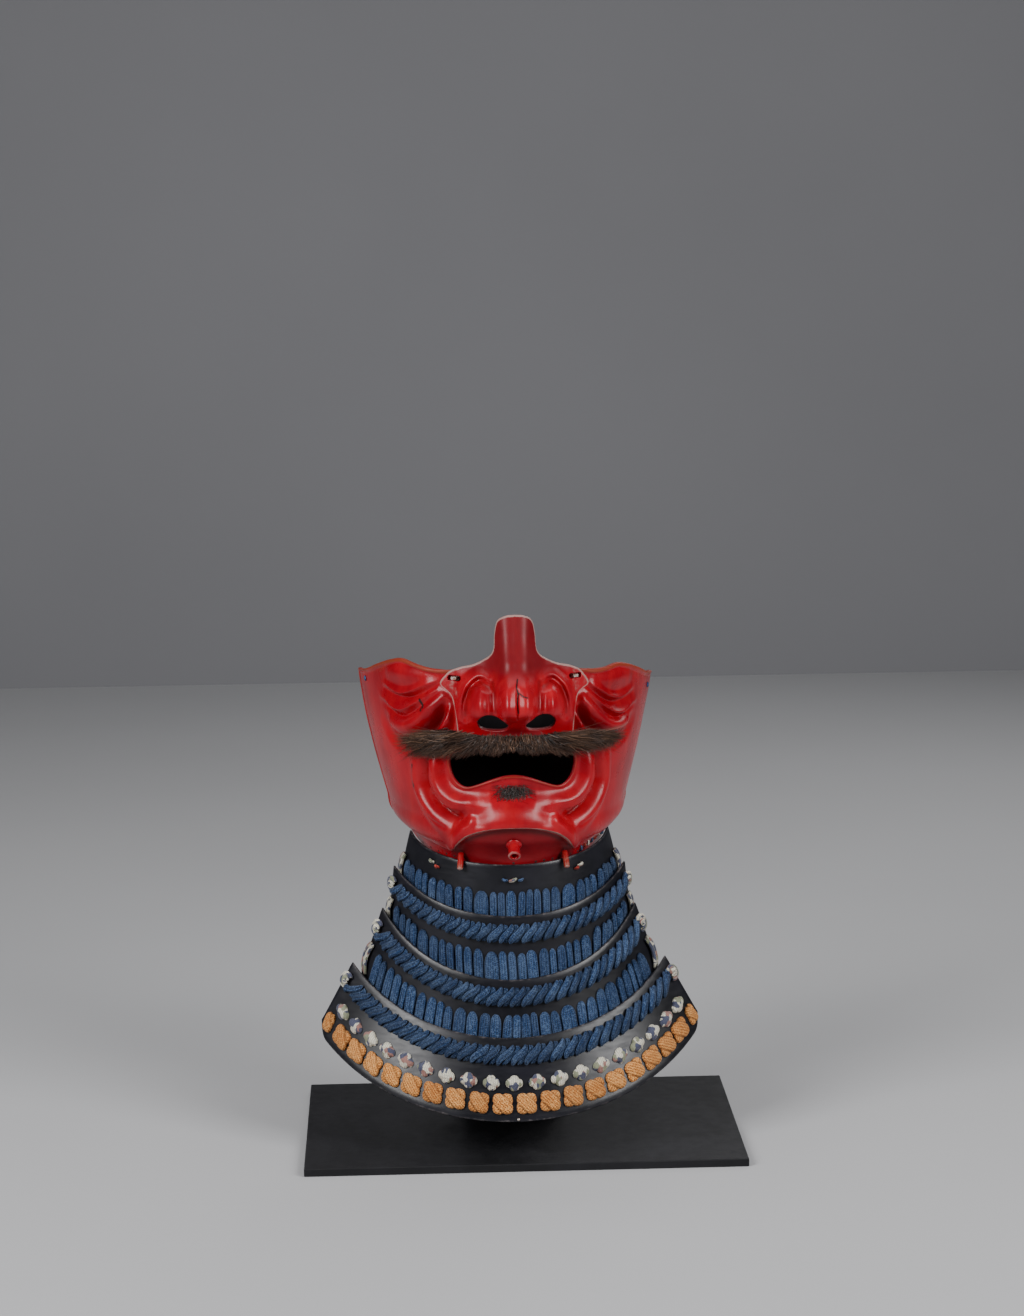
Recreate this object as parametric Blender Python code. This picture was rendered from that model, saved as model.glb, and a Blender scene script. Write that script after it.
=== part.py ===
"""Lacquered face guard with its laced throat guard on a plain display stand.

Metres, +Z up. The object faces -Y and +X is the viewer's right. The origin is on the underside
of the base plate, below the mask's plane of symmetry. Tables marked mm hold millimetres.
"""

import math

import bmesh
import bpy
import numpy as np

MM = 0.001
GAP = 0.0003

# Stand
PLATE_WIDTH = 0.256
PLATE_DEPTH = 0.1645
PLATE_THICKNESS = 0.0047
PLATE_X = 0.004
POST_Y = 0.022
POST_THICKNESS = 0.005
POST_HALF_WIDTH = 0.030
POST_NECK_Z = 0.205
POST_ARM_Z = 0.236
POST_TOP_Z = 0.264

# Mask
FACE_WALL = 0.0018
FACE_RINGS = 12
LEDGE_RING = 7
LEDGE_RAYS = 9
CROWDED_RAYS = 19
LEDGE_STEP = 0.002
NOSE_WALL = 0.0018
NOSE_SEAT = 0.0005
NOSE_RINGS = 6
NOSE_SHIFT = 0.002
NOSE_MARGIN = 0.003
CHEEK_TILT = 0.0024
LEDGE_DEPTH = 0.0062
CHIN_HALF_WIDTH = 0.0338
CHIN_TOP_Z = 0.1944
CHIN_DROP = 0.017
SLOT_LENGTH = 0.0095
SLOT_HEIGHT = 0.0032
SLOT_X = 0.0335
SLOT_Z = 0.2796
HOOK_WIDTH = 0.0032
HOOK_HEIGHT = 0.0016
HOOK_REACH = 0.0038

# Chin fittings
TUBE_RADIUS = 0.0034
TUBE_BORE = 0.0019
TUBE_LENGTH = 0.0085
TUBE_Z = 0.1835
PEG_RADIUS = 0.0017
PEG_LENGTH = 0.0105
PEG_X = 0.030
PEG_Z = 0.1765

# Throat guard
LAME_WALL = 0.0015
LAME_COLUMNS = 18
CORD_THICKNESS = 0.0024
TWIST_THICKNESS = 0.0042
KNOT_THICKNESS = 0.0034
STEM_SIZE = 0.0022
BACK_CORD = 0.0013
LAME_CORNER = 0.13

# Base form of the mask, mm: height, half width, rear edge, front
FACE_ROWS = (
    (160, 55.5, 42.0, -32.5),
    (168, 56.3, 43.5, -33.2),
    (172, 57.2, 45.0, -34.2),
    (176, 58.8, 47.4, -36.4),
    (180, 61.0, 50.0, -39.6),
    (184, 67.0, 56.0, -43.0),
    (196, 72.0, 62.0, -45.0),
    (211, 76.5, 66.0, -43.0),
    (228, 81.0, 70.0, -42.0),
    (246, 85.0, 73.0, -41.0),
    (264, 88.0, 75.0, -38.0),
    (286, 89.0, 76.0, -36.0),
    (300, 89.0, 77.0, -34.0),
    (317, 88.0, 77.0, -33.0),
)

# Rays across half of the face plate, mm: mouth x, mouth z, edge x, edge z, 1 at a corner.
# An edge x beyond the half width lies on the rear edge.
REAR = 99.0
FACE_RAYS = (
    (0.0, 223.4, 0.0, 166.6, 0),
    (5.0, 223.0, 9.0, 166.7, 0),
    (10.0, 221.7, 18.0, 167.0, 0),
    (14.6, 220.1, 27.0, 167.6, 0),
    (19.0, 218.4, 35.0, 168.4, 0),
    (23.2, 216.9, 42.0, 169.4, 0),
    (27.0, 216.1, 48.4, 170.8, 0),
    (30.0, 216.8, 53.4, 173.0, 0),
    (32.4, 218.5, 57.4, 176.4, 0),
    (34.2, 220.8, REAR, 181.5, 1),
    (35.4, 223.2, REAR, 191.0, 0),
    (36.2, 225.8, REAR, 199.0, 0),
    (36.7, 228.4, REAR, 209.0, 0),
    (36.8, 230.8, REAR, 220.0, 0),
    (36.6, 232.8, REAR, 232.0, 0),
    (36.0, 234.5, REAR, 244.0, 0),
    (35.2, 235.6, REAR, 256.0, 0),
    (34.3, 236.3, REAR, 266.5, 1),
    (33.5, 236.6, 83.0, 272.5, 0),
    (32.7, 236.9, 76.0, 278.3, 0),
    (31.9, 237.1, 69.0, 282.3, 0),
    (31.1, 237.3, 62.5, 284.2, 0),
    (30.3, 237.6, 55.0, 282.8, 0),
    (29.5, 237.8, 47.0, 282.0, 0),
    (28.8, 238.0, 39.0, 282.6, 0),
    (28.0, 238.2, 32.5, 283.5, 0),
    (27.2, 238.4, 27.5, 283.5, 1),
    (26.4, 238.6, 26.3, 270.0, 0),
    (25.4, 238.9, 26.0, 257.0, 0),
    (23.8, 239.4, 24.6, 249.6, 1),
    (20.0, 240.4, 19.0, 247.4, 0),
    (13.5, 241.6, 12.5, 247.0, 0),
    (6.8, 242.3, 6.2, 247.0, 0),
    (0.0, 242.5, 0.0, 247.0, 0),
)

# Rays around the nostril of half of the nose plate, mm: hole x, hole z, edge x, edge z, corner
NOSE_RAYS = (
    (8.0, 252.1, 0.0, 244.0, 1),
    (11.0, 251.8, 8.0, 244.0, 0),
    (14.0, 251.7, 16.0, 244.0, 0),
    (17.0, 251.9, 24.0, 244.3, 0),
    (19.6, 252.6, 31.8, 245.2, 1),
    (21.0, 254.2, 32.4, 251.0, 0),
    (21.6, 256.0, 33.0, 257.0, 0),
    (21.6, 257.8, 33.9, 263.0, 0),
    (20.8, 259.6, 35.2, 268.5, 0),
    (20.0, 260.6, 37.5, 271.6, 0),
    (19.2, 261.3, 41.2, 274.4, 1),
    (18.4, 261.8, 41.2, 276.8, 0),
    (17.6, 262.1, 39.0, 280.0, 0),
    (16.8, 262.3, 36.0, 283.0, 0),
    (16.0, 262.4, 30.0, 285.6, 0),
    (15.2, 262.4, 23.5, 287.4, 0),
    (14.3, 262.3, 17.5, 290.4, 0),
    (13.4, 262.0, 13.6, 293.6, 0),
    (12.5, 261.8, 11.8, 298.0, 0),
    (11.6, 261.4, 11.3, 306.0, 0),
    (10.7, 261.1, 9.6, 313.0, 0),
    (9.8, 260.7, 5.0, 316.0, 0),
    (8.9, 260.2, 0.0, 316.5, 1),
    (8.1, 259.7, 0.0, 306.0, 0),
    (7.4, 259.2, 0.0, 296.0, 0),
    (6.7, 258.6, 0.0, 287.0, 0),
    (6.1, 258.0, 0.0, 279.0, 0),
    (5.5, 257.3, 0.0, 271.5, 0),
    (5.0, 256.5, 0.0, 264.5, 0),
    (4.6, 255.5, 0.0, 258.5, 0),
    (4.6, 254.3, 0.0, 253.5, 0),
    (5.6, 252.9, 0.0, 248.5, 0),
)

# How far the nose stands out in front of its tabs, mm, by height and by distance from the middle
NOSE_STATIONS = (0.0, 6.0, 12.0, 16.0, 21.0, 27.0, 34.0)
NOSE_ROWS = (
    (244.0, (6.5, 6.4, 6.0, 5.4, 4.0, 2.4, 0.4)),
    (251.5, (13.5, 13.2, 11.8, 10.0, 8.0, 5.0, 1.0)),
    (258.0, (22.0, 21.4, 18.6, 15.4, 12.2, 8.0, 1.4)),
    (263.0, (29.5, 29.0, 24.4, 18.8, 15.0, 9.4, 1.4)),
    (268.0, (30.5, 30.0, 24.8, 18.2, 14.6, 9.0, 1.0)),
    (276.0, (27.0, 26.2, 20.6, 13.8, 9.6, 4.6, 0.3)),
    (283.0, (22.5, 21.2, 13.6, 7.4, 3.8, 1.2, 0.0)),
    (290.0, (17.5, 15.8, 7.6, 3.2, 1.0, 0.2, 0.0)),
    (300.0, (11.5, 9.8, 3.2, 0.8, 0.0, 0.0, 0.0)),
    (317.0, (6.0, 4.4, 0.8, 0.0, 0.0, 0.0, 0.0)),
)

# Folds of the face plate, mm: half width of the fold, 1 for a sharp ridge and 2 for a round one,
# then its line as x, z and height, a groove having a height below zero
FACE_FOLDS = {
    "eye_ridge": (5.6, 2, ((72, 267, 1.2), (63.8, 264.8, 2.4), (56.3, 267.9, 2.2),
                           (44, 275.4, 1.0))),
    "cheek_ridge": (6.0, 2, ((74, 259, 1.4), (65.6, 255.8, 3.0), (57.4, 258.9, 3.0),
                             (49.4, 265.4, 2.2), (42.4, 271.8, 1.0))),
    "cheek_groove": (5.0, 2, ((73, 255.6, -1.2), (63.5, 251.4, -2.4), (55.6, 255.4, -2.4),
                              (44.6, 266.0, -1.4))),
    "cheek_roll": (9.0, 2, ((68, 247, 2.0), (62, 247.2, 4.0), (56, 249, 5.0),
                            (49, 255.6, 5.2), (43, 263, 4.0), (37.5, 268.5, 1.8))),
    "cheek_hollow": (8.0, 2, ((72.5, 246, -1.0), (68.4, 239.6, -2.2), (61, 236.6, -2.2))),
    "nose_valley": (5.0, 2, ((52, 240.5, -1.6), (47, 246.4, -3.6), (42.6, 251.8, -4.2),
                             (39.6, 258, -3.6), (36.6, 264.5, -1.6))),
    "nose_fold": (6.0, 2, ((43, 243.5, 2.4), (39, 250, 3.8), (35.6, 257, 3.4),
                           (34, 265, 1.4))),
    "lid_pad": (9.0, 2, ((69, 276, 1.2), (60, 276.4, 2.6), (50, 276.2, 1.2))),
    "mouth_roll": (8.0, 2, ((44, 236, 2.4), (43.6, 228, 4.6), (42.4, 218.5, 5.2),
                            (38.2, 211.4, 5.4), (32.4, 207.6, 5.0), (25, 206.8, 3.8),
                            (14, 209, 1.6))),
    "mouth_groove": (7.0, 2, ((50, 238, -1.0), (48.8, 228, -2.0), (47.8, 212.5, -2.2),
                              (42, 204, -2.2), (34.5, 199, -2.0), (27, 197.4, -1.2))),
    "jowl_roll": (10.0, 2, ((56, 238, 1.2), (56, 226, 2.2), (55, 213, 2.6),
                            (50, 202.4, 2.6), (43, 194.6, 2.4), (35.8, 190, 1.4))),
    "chin_side": (5.0, 2, ((34.2, 181, 1.4), (29.4, 190, 2.2), (23.4, 197.6, 1.8))),
    "chin_pad": (13.0, 2, ((0, 204.5, 2.4), (9, 205.2, 2.0))),
    "lip_groove": (6.5, 2, ((0, 214.8, -1.6), (12, 213.4, -1.2), (19, 211.4, -0.4))),
}

# Small forms of the nose plate, in the same way
NOSE_FOLDS = {
    "tip_bulge": (6.5, 2, ((6.2, 278, 0.8), (6.6, 270, 1.8), (6.4, 265.5, 1.6))),
    "centre_groove": (2.4, 1, ((0, 283, -0.5), (0, 274, -1.8), (0, 264, -1.6))),
    "wing_groove": (3.6, 1, ((11.4, 281, -0.6), (13.6, 273, -3.0), (12.8, 265, -2.4))),
    "wing": (6.6, 2, ((19.6, 270, 1.8), (20.4, 264.6, 2.4))),
    "wing_arch": (2.4, 1, ((30.6, 266, 0.9), (28.4, 273.6, 1.1), (23.8, 279.6, 1.1),
                           (18.8, 282.2, 1.1), (14.6, 281.6, 0.8))),
    "wing_hollow": (3.4, 2, ((27.4, 264.5, -1.3), (25.4, 272.4, -1.3), (20.4, 277.2, -1.3),
                             (16.6, 276.6, -1.0))),
}

# Lames, mm and degrees: height at the middle, rise at the ends, radius, half angle and front,
# each for the top edge and the bottom edge, then the shift to the side
LAMES = (
    (169.3, 134.0, 11.0, 16.0, 60.0, 70.6, 80.0, 68.0, -35.5, -37.0, -0.6),
    (140.1, 98.0, 22.0, 28.0, 77.6, 81.8, 62.0, 62.0, -41.4, -45.8, -1.2),
    (104.4, 66.0, 34.0, 33.0, 86.6, 104.6, 60.0, 57.4, -49.9, -56.8, -2.0),
    (72.9, 29.0, 33.8, 39.5, 110.6, 134.5, 57.0, 58.0, -60.6, -77.3, -2.4),
)

# Upright cords: lame, count, share of the lame's height at the top and the bottom of the cords
UPRIGHT_ROWS = (
    (0, 26, 0.415, 0.935),
    (1, 28, 0.48, 0.945),
    (2, 30, 0.50, 0.935),
)
# Twisted cords: lame, count, share of the lame's height at the top and the bottom of the row
TWISTED_ROWS = (
    (1, 26, 0.075, 0.375),
    (2, 28, 0.075, 0.405),
    (3, 30, 0.065, 0.345),
)
ROW_END = 0.93
EDGE_LACING_END = 1.014
TWIST_LEAN = 0.55

# Knots: count, share of the lame's height, knot width, knot height, share of the end knots,
# middle of the end knots as a share of the lame's half angle
MULTICOLOUR_ROW = (19, 0.545, 0.0094, 0.0084, 1.0, 0.915)
ORANGE_ROW = (20, 0.795, 0.0116, 0.0112, 0.55, 0.955)

# Moustache sections, mm: x, top, bottom, depth, distance from the face
MOUSTACHE_ROWS = (
    (-70, 233.5, 231.5, 1.0, 9.0),
    (-63, 241.0, 232.0, 2.6, 6.5),
    (-55, 246.0, 233.5, 4.0, 4.0),
    (-46, 249.0, 234.5, 5.2, 1.8),
    (-37, 250.4, 235.2, 6.4, 0.6),
    (-28, 251.0, 239.0, 7.4, 0.5),
    (-19, 251.0, 240.0, 8.0, 0.5),
    (-10, 251.0, 238.2, 8.2, 0.5),
    (0, 251.0, 239.6, 8.2, 0.5),
    (10, 251.0, 238.2, 8.2, 0.5),
    (19, 250.8, 240.4, 8.0, 0.5),
    (28, 250.2, 238.4, 7.4, 0.5),
    (37, 249.4, 234.6, 6.4, 0.6),
    (46, 248.0, 232.6, 5.2, 1.8),
    (55, 246.2, 235.0, 4.0, 4.0),
    (64, 244.0, 237.6, 2.6, 6.5),
    (72, 240.4, 238.8, 1.0, 9.0),
)
TUFT_WIDTH = 0.0165
TUFT_HEIGHT = 0.0095
TUFT_DEPTH = 0.0028
TUFT_Z = 0.2135
TUFT_LIFT = 0.0009


def hermite(value, xs, ys):
    """A smooth curve through the points xs, ys, read at value."""
    xs = np.asarray(xs, float)
    ys = np.asarray(ys, float)
    slopes = np.gradient(ys, xs)
    i = np.clip(np.searchsorted(xs, value) - 1, 0, len(xs) - 2)
    step = xs[i + 1] - xs[i]
    t = np.clip((value - xs[i]) / step, 0.0, 1.0)
    a = (2 * t**3 - 3 * t**2 + 1) * ys[i] + (t**3 - 2 * t**2 + t) * step * slopes[i]
    b = (3 * t**2 - 2 * t**3) * ys[i + 1] + (t**3 - t**2) * step * slopes[i + 1]
    return a + b


def smoothstep(value, low, high):
    t = np.clip((value - low) / (high - low), 0.0, 1.0)
    return t * t * (3 - 2 * t)


ROWS = np.array(FACE_ROWS) * MM


def base_point(angle, z):
    """A point of the mask's base form, angle 0 at the middle and 90 degrees at the rear edge."""
    half = hermite(z, ROWS[:, 0], ROWS[:, 1])
    rear = hermite(z, ROWS[:, 0], ROWS[:, 2])
    front = hermite(z, ROWS[:, 0], ROWS[:, 3])
    y = rear - (rear - front) * np.cos(angle)
    return np.stack([half * np.sin(angle), y, z + 0 * angle], -1)


def base_angle(x, z):
    """The angle of the point that shows at x in the front view."""
    half = hermite(z, ROWS[:, 0], ROWS[:, 1])
    return np.arcsin(np.clip(x / half, -1.0, 1.0))


def base_normal(angle, z):
    step = 1e-4
    across = base_point(angle + step, z) - base_point(angle - step, z)
    up = base_point(angle, z + step) - base_point(angle, z - step)
    normal = np.cross(across, up)
    return normal / np.linalg.norm(normal, axis=-1, keepdims=True)


def fold_height(points, angle_z_line, half_width, roundness, heights):
    """Height of one fold at each point, from the distance to its line on the base form."""
    best = np.full(len(points), 1e9)
    height = np.zeros(len(points))
    for k in range(len(angle_z_line) - 1):
        start = angle_z_line[k]
        run = angle_z_line[k + 1] - start
        t = np.clip((points - start) @ run / (run @ run), 0.0, 1.0)
        distance = np.linalg.norm(points - start - t[:, None] * run, axis=1)
        nearer = distance < best
        best[nearer] = distance[nearer]
        height[nearer] = (heights[k] + (heights[k + 1] - heights[k]) * t)[nearer]
    reach = np.clip(1.0 - best / half_width, 0.0, 1.0)
    if roundness == 1:
        return height * reach**1.6
    return height * np.sin(reach * math.pi / 2) ** 2


def folds(points, table):
    """Sum of all folds of a table at points whose x is already made positive."""
    total = np.zeros(len(points))
    for half_width, roundness, line in table.values():
        line = np.array(line, float) * MM
        on_base = base_point(base_angle(line[:, 0], line[:, 1]), line[:, 1])
        total += fold_height(points, on_base, half_width * MM, roundness, line[:, 2])
    return total


def ledge_line(x):
    """Height of the chin's ledge, and of the jaw's lower edge beside it."""
    inside = np.clip(x / CHIN_HALF_WIDTH, 0.0, 1.0)
    arc = CHIN_TOP_Z - CHIN_DROP * (1 - np.sqrt(1 - inside**2))
    jaw = np.interp(x, [0.0338, 0.0414, 0.0472, 0.059], [0.1774, 0.1789, 0.1805, 0.1815])
    return np.where(x < CHIN_HALF_WIDTH, arc, jaw)


def nose_outline():
    return np.array(NOSE_RAYS)[:23, 2:4] * MM


def clear_of_nose(x, z):
    """0 under the nose plate, rising to 1 a few millimetres outside it."""
    line = nose_outline()
    best = np.full(x.shape, 1e9)
    inside = np.zeros(x.shape, bool)
    for side in (1.0, -1.0):
        px = side * (x - NOSE_SHIFT)
        for k in range(len(line) - 1):
            ax, az = line[k]
            bx, bz = line[k + 1]
            run = (bx - ax) ** 2 + (bz - az) ** 2
            t = np.clip(((px - ax) * (bx - ax) + (z - az) * (bz - az)) / run, 0.0, 1.0)
            distance = np.hypot(px - ax - t * (bx - ax), z - az - t * (bz - az))
            best = np.minimum(best, distance)
            if az != bz:
                crosses = (np.minimum(az, bz) <= z) & (z < np.maximum(az, bz))
                cut = ax + (z - az) * (bx - ax) / (bz - az)
                inside ^= crosses & (px >= 0) & (px < cut)
    return np.where(inside, 0.0, smoothstep(best, NOSE_MARGIN, NOSE_MARGIN + 0.005))


def face_relief(angle, z):
    """Height of the face plate's outer side over its base form."""
    shape = angle.shape
    angle = angle.ravel()
    z = z.ravel()
    x = base_point(angle, z)[:, 0]
    points = base_point(np.abs(angle), z)
    height = folds(points, FACE_FOLDS)
    above = (z - ledge_line(np.abs(x))) * np.clip(1.15 - 9 * np.abs(x), 0.72, 1.0)
    depth = LEDGE_DEPTH * np.interp(np.abs(x), [0, 0.02, 0.034, 0.048, 0.062], [1, 0.9, 0.5, 0.3, 0.1])
    height += depth * smoothstep(above, -0.0012, 0.0006) * (1 - smoothstep(above, 0.001, 0.017))
    return (height * clear_of_nose(x, z)).reshape(shape)


def tilt(points):
    """The left cheek's top sits a little higher than the right one's."""
    x = points[..., 0]
    z = points[..., 2]
    share = smoothstep(np.abs(x), 0.034, 0.062) * smoothstep(z, 0.238, 0.262)
    moved = points.copy()
    moved[..., 2] = z - np.sign(x) * CHEEK_TILT * share
    return moved


def face_point(angle, z, depth=0.0):
    """A point of the face plate, depth behind its outer side."""
    height = face_relief(angle, z) - depth
    return tilt(base_point(angle, z) + base_normal(angle, z) * height[..., None])


def ray_curves(table):
    """Inner and outer curves of a table of rays, in metres."""
    rays = np.array(table, float)
    return rays[:, 0:2] * MM, rays[:, 2:4] * MM


def ring_shares(mouth, edge):
    """Where the rings cross each ray. One ring follows the chin's ledge and the jaw's edge."""
    shares = np.linspace(0, 1, FACE_RINGS + 1) * np.ones((len(mouth), 1))
    shares[:CROWDED_RAYS] **= 1.5
    for i in range(LEDGE_RAYS):
        along = np.linspace(0, 1, 400)
        line = mouth[i] + (edge[i] - mouth[i]) * along[:, None]
        x = base_point(line[:, 0], line[:, 1])[:, 0]
        crossing = along[np.argmax(line[:, 1] < ledge_line(x))]
        step = LEDGE_STEP / np.linalg.norm((edge[i] - mouth[i]) * [0.08, 1.0])
        marks = [0.0, crossing - step * 0.3, crossing + step * 0.7, 1.0]
        shares[i] = np.interp(np.arange(FACE_RINGS + 1), [0, LEDGE_RING, LEDGE_RING + 1, FACE_RINGS], marks)
    for i in range(LEDGE_RAYS, LEDGE_RAYS + 6):
        blend = (i + 1 - LEDGE_RAYS) / 7
        shares[i] = shares[LEDGE_RAYS - 1] * (1 - blend) + shares[i] * blend
    return shares


def face_grid():
    """Angles and heights of the face plate's grid: rays around the mouth by rings."""
    mouth, edge = ray_curves(FACE_RAYS)
    mouth = np.stack([base_angle(mouth[:, 0], mouth[:, 1]), mouth[:, 1]], -1)
    edge = np.stack([base_angle(edge[:, 0], edge[:, 1]), edge[:, 1]], -1)
    share = ring_shares(mouth, edge)[..., None]
    half = mouth[:, None, :] * (1 - share) + edge[:, None, :] * share
    other = half[-2:0:-1] * [-1, 1]
    whole = np.concatenate([half, other])
    return whole[..., 0], whole[..., 1]


def grid_faces(offset, rows, columns, cyclic):
    faces = []
    for i in range(rows if cyclic else rows - 1):
        for j in range(columns - 1):
            a = offset + i * columns + j
            b = offset + ((i + 1) % rows) * columns + j
            faces.append((a, b, b + 1, a + 1))
    return faces


def solid_of_sheets(outer, inner, cyclic=False):
    """Vertices and faces of the closed body between two grids of the same size."""
    rows, columns = outer.shape[:2]
    count = rows * columns
    verts = np.concatenate([outer.reshape(-1, 3), inner.reshape(-1, 3)])
    faces = grid_faces(0, rows, columns, cyclic)
    faces += [tuple(reversed(f)) for f in grid_faces(count, rows, columns, cyclic)]
    for i in range(rows if cyclic else rows - 1):
        n = (i + 1) % rows
        for j in (0, columns - 1):
            a = i * columns + j
            b = n * columns + j
            faces.append((a, b, b + count, a + count))
    if not cyclic:
        for i in (0, rows - 1):
            for j in range(columns - 1):
                a = i * columns + j
                faces.append((a, a + 1, a + 1 + count, a + count))
    return verts, faces


def loft(sections):
    """Vertices and faces of a body through sections of the same number of points."""
    sides = len(sections[0])
    faces = []
    for i in range(len(sections) - 1):
        for k in range(sides):
            a = i * sides + k
            b = i * sides + (k + 1) % sides
            faces.append((a, b, b + sides, a + sides))
    last = (len(sections) - 1) * sides
    faces.append(tuple(range(sides)))
    faces.append(tuple(range(last + sides - 1, last - 1, -1)))
    return np.array(sections, float).reshape(-1, 3), faces


def make_material(name, colour, roughness, metallic=0.0):
    material = bpy.data.materials.new(name)
    material.use_nodes = True
    shader = material.node_tree.nodes["Principled BSDF"]
    shader.inputs["Base Color"].default_value = (*colour, 1.0)
    shader.inputs["Roughness"].default_value = roughness
    shader.inputs["Metallic"].default_value = metallic
    return material


def make_object(name, verts, faces, material, root, smooth=True):
    mesh = bpy.data.meshes.new(name)
    mesh.from_pydata([tuple(map(float, v)) for v in verts], [], [tuple(f) for f in faces])
    tool = bmesh.new()
    tool.from_mesh(mesh)
    bmesh.ops.remove_doubles(tool, verts=tool.verts, dist=1e-6)
    bmesh.ops.triangulate(tool, faces=[f for f in tool.faces if len(f.verts) > 4])
    bmesh.ops.recalc_face_normals(tool, faces=tool.faces)
    tool.to_mesh(mesh)
    tool.free()
    if smooth:
        mesh.shade_smooth()
        mesh.set_sharp_from_angle(angle=math.radians(50))
    mesh.materials.append(material)
    made = bpy.data.objects.new(name, mesh)
    bpy.context.collection.objects.link(made)
    made.parent = root
    return made


def box_mesh(centre, size, basis=None):
    basis = np.eye(3) if basis is None else np.asarray(basis)
    corners = []
    for dx in (-0.5, 0.5):
        for dy in (-0.5, 0.5):
            for dz in (-0.5, 0.5):
                corners.append(np.asarray(centre) + (np.array([dx, dy, dz]) * size) @ basis)
    faces = [(0, 1, 3, 2), (4, 6, 7, 5), (0, 4, 5, 1), (2, 3, 7, 6), (0, 2, 6, 4), (1, 5, 7, 3)]
    return corners, faces


def turned_mesh(start, axis, profile, sides):
    """A turned body along axis from start: profile rows are distance along the axis and radius."""
    axis = np.asarray(axis, float)
    axis = axis / np.linalg.norm(axis)
    across = np.cross(axis, [1.0, 0.0, 0.0])
    across /= np.linalg.norm(across)
    other = np.cross(axis, across)
    sections = []
    for along, radius in profile:
        turns = [2 * math.pi * k / sides for k in range(sides)]
        spokes = [across * math.cos(turn) + other * math.sin(turn) for turn in turns]
        sections.append([np.asarray(start) + axis * along + spoke * radius for spoke in spokes])
    return loft(sections)


def add_cut(target, cutter):
    cutter.hide_render = True
    cutter.display_type = "WIRE"
    modifier = target.modifiers.new("cut_" + cutter.name, "BOOLEAN")
    modifier.operation = "DIFFERENCE"
    modifier.solver = "EXACT"
    modifier.object = cutter


def build_face(root, lacquer):
    angle, z = face_grid()
    outer = face_point(angle, z)
    inner = face_point(angle, z, FACE_WALL)
    verts, faces = solid_of_sheets(outer, inner, cyclic=True)
    return make_object("face_plate", verts, faces, lacquer, root)


def nose_stand_out(x, z):
    """How far the nose stands out in front of its tabs at a place of the front view."""
    heights = np.array([row[0] for row in NOSE_ROWS]) * MM
    table = np.array([row[1] for row in NOSE_ROWS]) * MM
    stations = np.array(NOSE_STATIONS) * MM
    columns = np.stack([hermite(z, heights, table[:, k]) for k in range(len(stations))], -1)
    slopes = np.gradient(columns, stations, axis=-1)
    slopes[..., 0] = 0.0
    x = np.clip(np.abs(x), 0, stations[-1])
    i = np.clip(np.searchsorted(stations, x) - 1, 0, len(stations) - 2)
    pick = np.arange(x.size)
    step = stations[i + 1] - stations[i]
    t = (x - stations[i]) / step
    a = (2 * t**3 - 3 * t**2 + 1) * columns[pick, i] + (t**3 - 2 * t**2 + t) * step * slopes[pick, i]
    b = (3 * t**2 - 2 * t**3) * columns[pick, i + 1] + (t**3 - t**2) * step * slopes[pick, i + 1]
    return a + b


def nose_point(x, z, depth=0.0):
    """A point of the nose plate by its place in the front view, before the plate's shift."""
    shape = x.shape
    x = x.ravel()
    z = z.ravel()
    place = base_point(np.abs(base_angle(x, z)), z)
    out = nose_stand_out(x, z) + folds(place, NOSE_FOLDS) * smoothstep(z, 0.244, 0.256)
    angle = base_angle(x + NOSE_SHIFT, z)
    point = base_point(angle, z) + base_normal(angle, z) * (NOSE_SEAT + NOSE_WALL - depth)
    point[:, 1] -= out
    return tilt(point).reshape(*shape, 3)


def build_nose(root, lacquer):
    hole, edge = ray_curves(NOSE_RAYS)
    share = (np.linspace(0, 1, NOSE_RINGS + 1) ** 1.2)[None, :, None]
    half = hole[:, None, :] * (1 - share) + edge[:, None, :] * share
    rays, rings = half.shape[:2]
    verts = []
    faces = []
    for side in (1.0, -1.0):
        x = half[..., 0] * side
        z = half[..., 1]
        start = len(verts)
        outer = nose_point(x, z)
        inner = nose_point(x, z, NOSE_WALL)
        verts.extend(outer.reshape(-1, 3))
        verts.extend(inner.reshape(-1, 3))
        count = rays * rings
        faces += grid_faces(start, rays, rings, True)
        faces += grid_faces(start + count, rays, rings, True)
        for i in range(rays):
            n = (i + 1) % rays
            a = start + i * rings
            b = start + n * rings
            faces.append((a, b, b + count, a + count))
            if edge[i, 0] > 0 or edge[n, 0] > 0:
                a += rings - 1
                b += rings - 1
                faces.append((a, b, b + count, a + count))
    nose = make_object("nose_plate", verts, faces, lacquer, root)
    for side, label in ((-1.0, "left"), (1.0, "right")):
        x = SLOT_X * side
        z = np.array([SLOT_Z])
        angle = base_angle(np.array([x + NOSE_SHIFT]), z)
        seat = face_point(angle, z)[0]
        out = base_normal(angle, z)[0]
        along = np.cross(out, [0.0, 0.0, 1.0])
        along /= np.linalg.norm(along)
        basis = np.array([along, out, np.cross(along, out)])
        verts, faces = box_mesh(seat + out * 0.0015, (SLOT_LENGTH, 0.009, SLOT_HEIGHT), basis)
        cutter = make_object("slot_" + label, verts, faces, lacquer, root, smooth=False)
        add_cut(nose, cutter)
        foot = seat + out * (GAP + HOOK_REACH / 2)
        verts, faces = box_mesh(foot, (HOOK_WIDTH, HOOK_REACH, HOOK_HEIGHT), basis)
        make_object("nose_hook_" + label, verts, faces, MATERIALS["steel"], root, smooth=False)
    return nose


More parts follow.
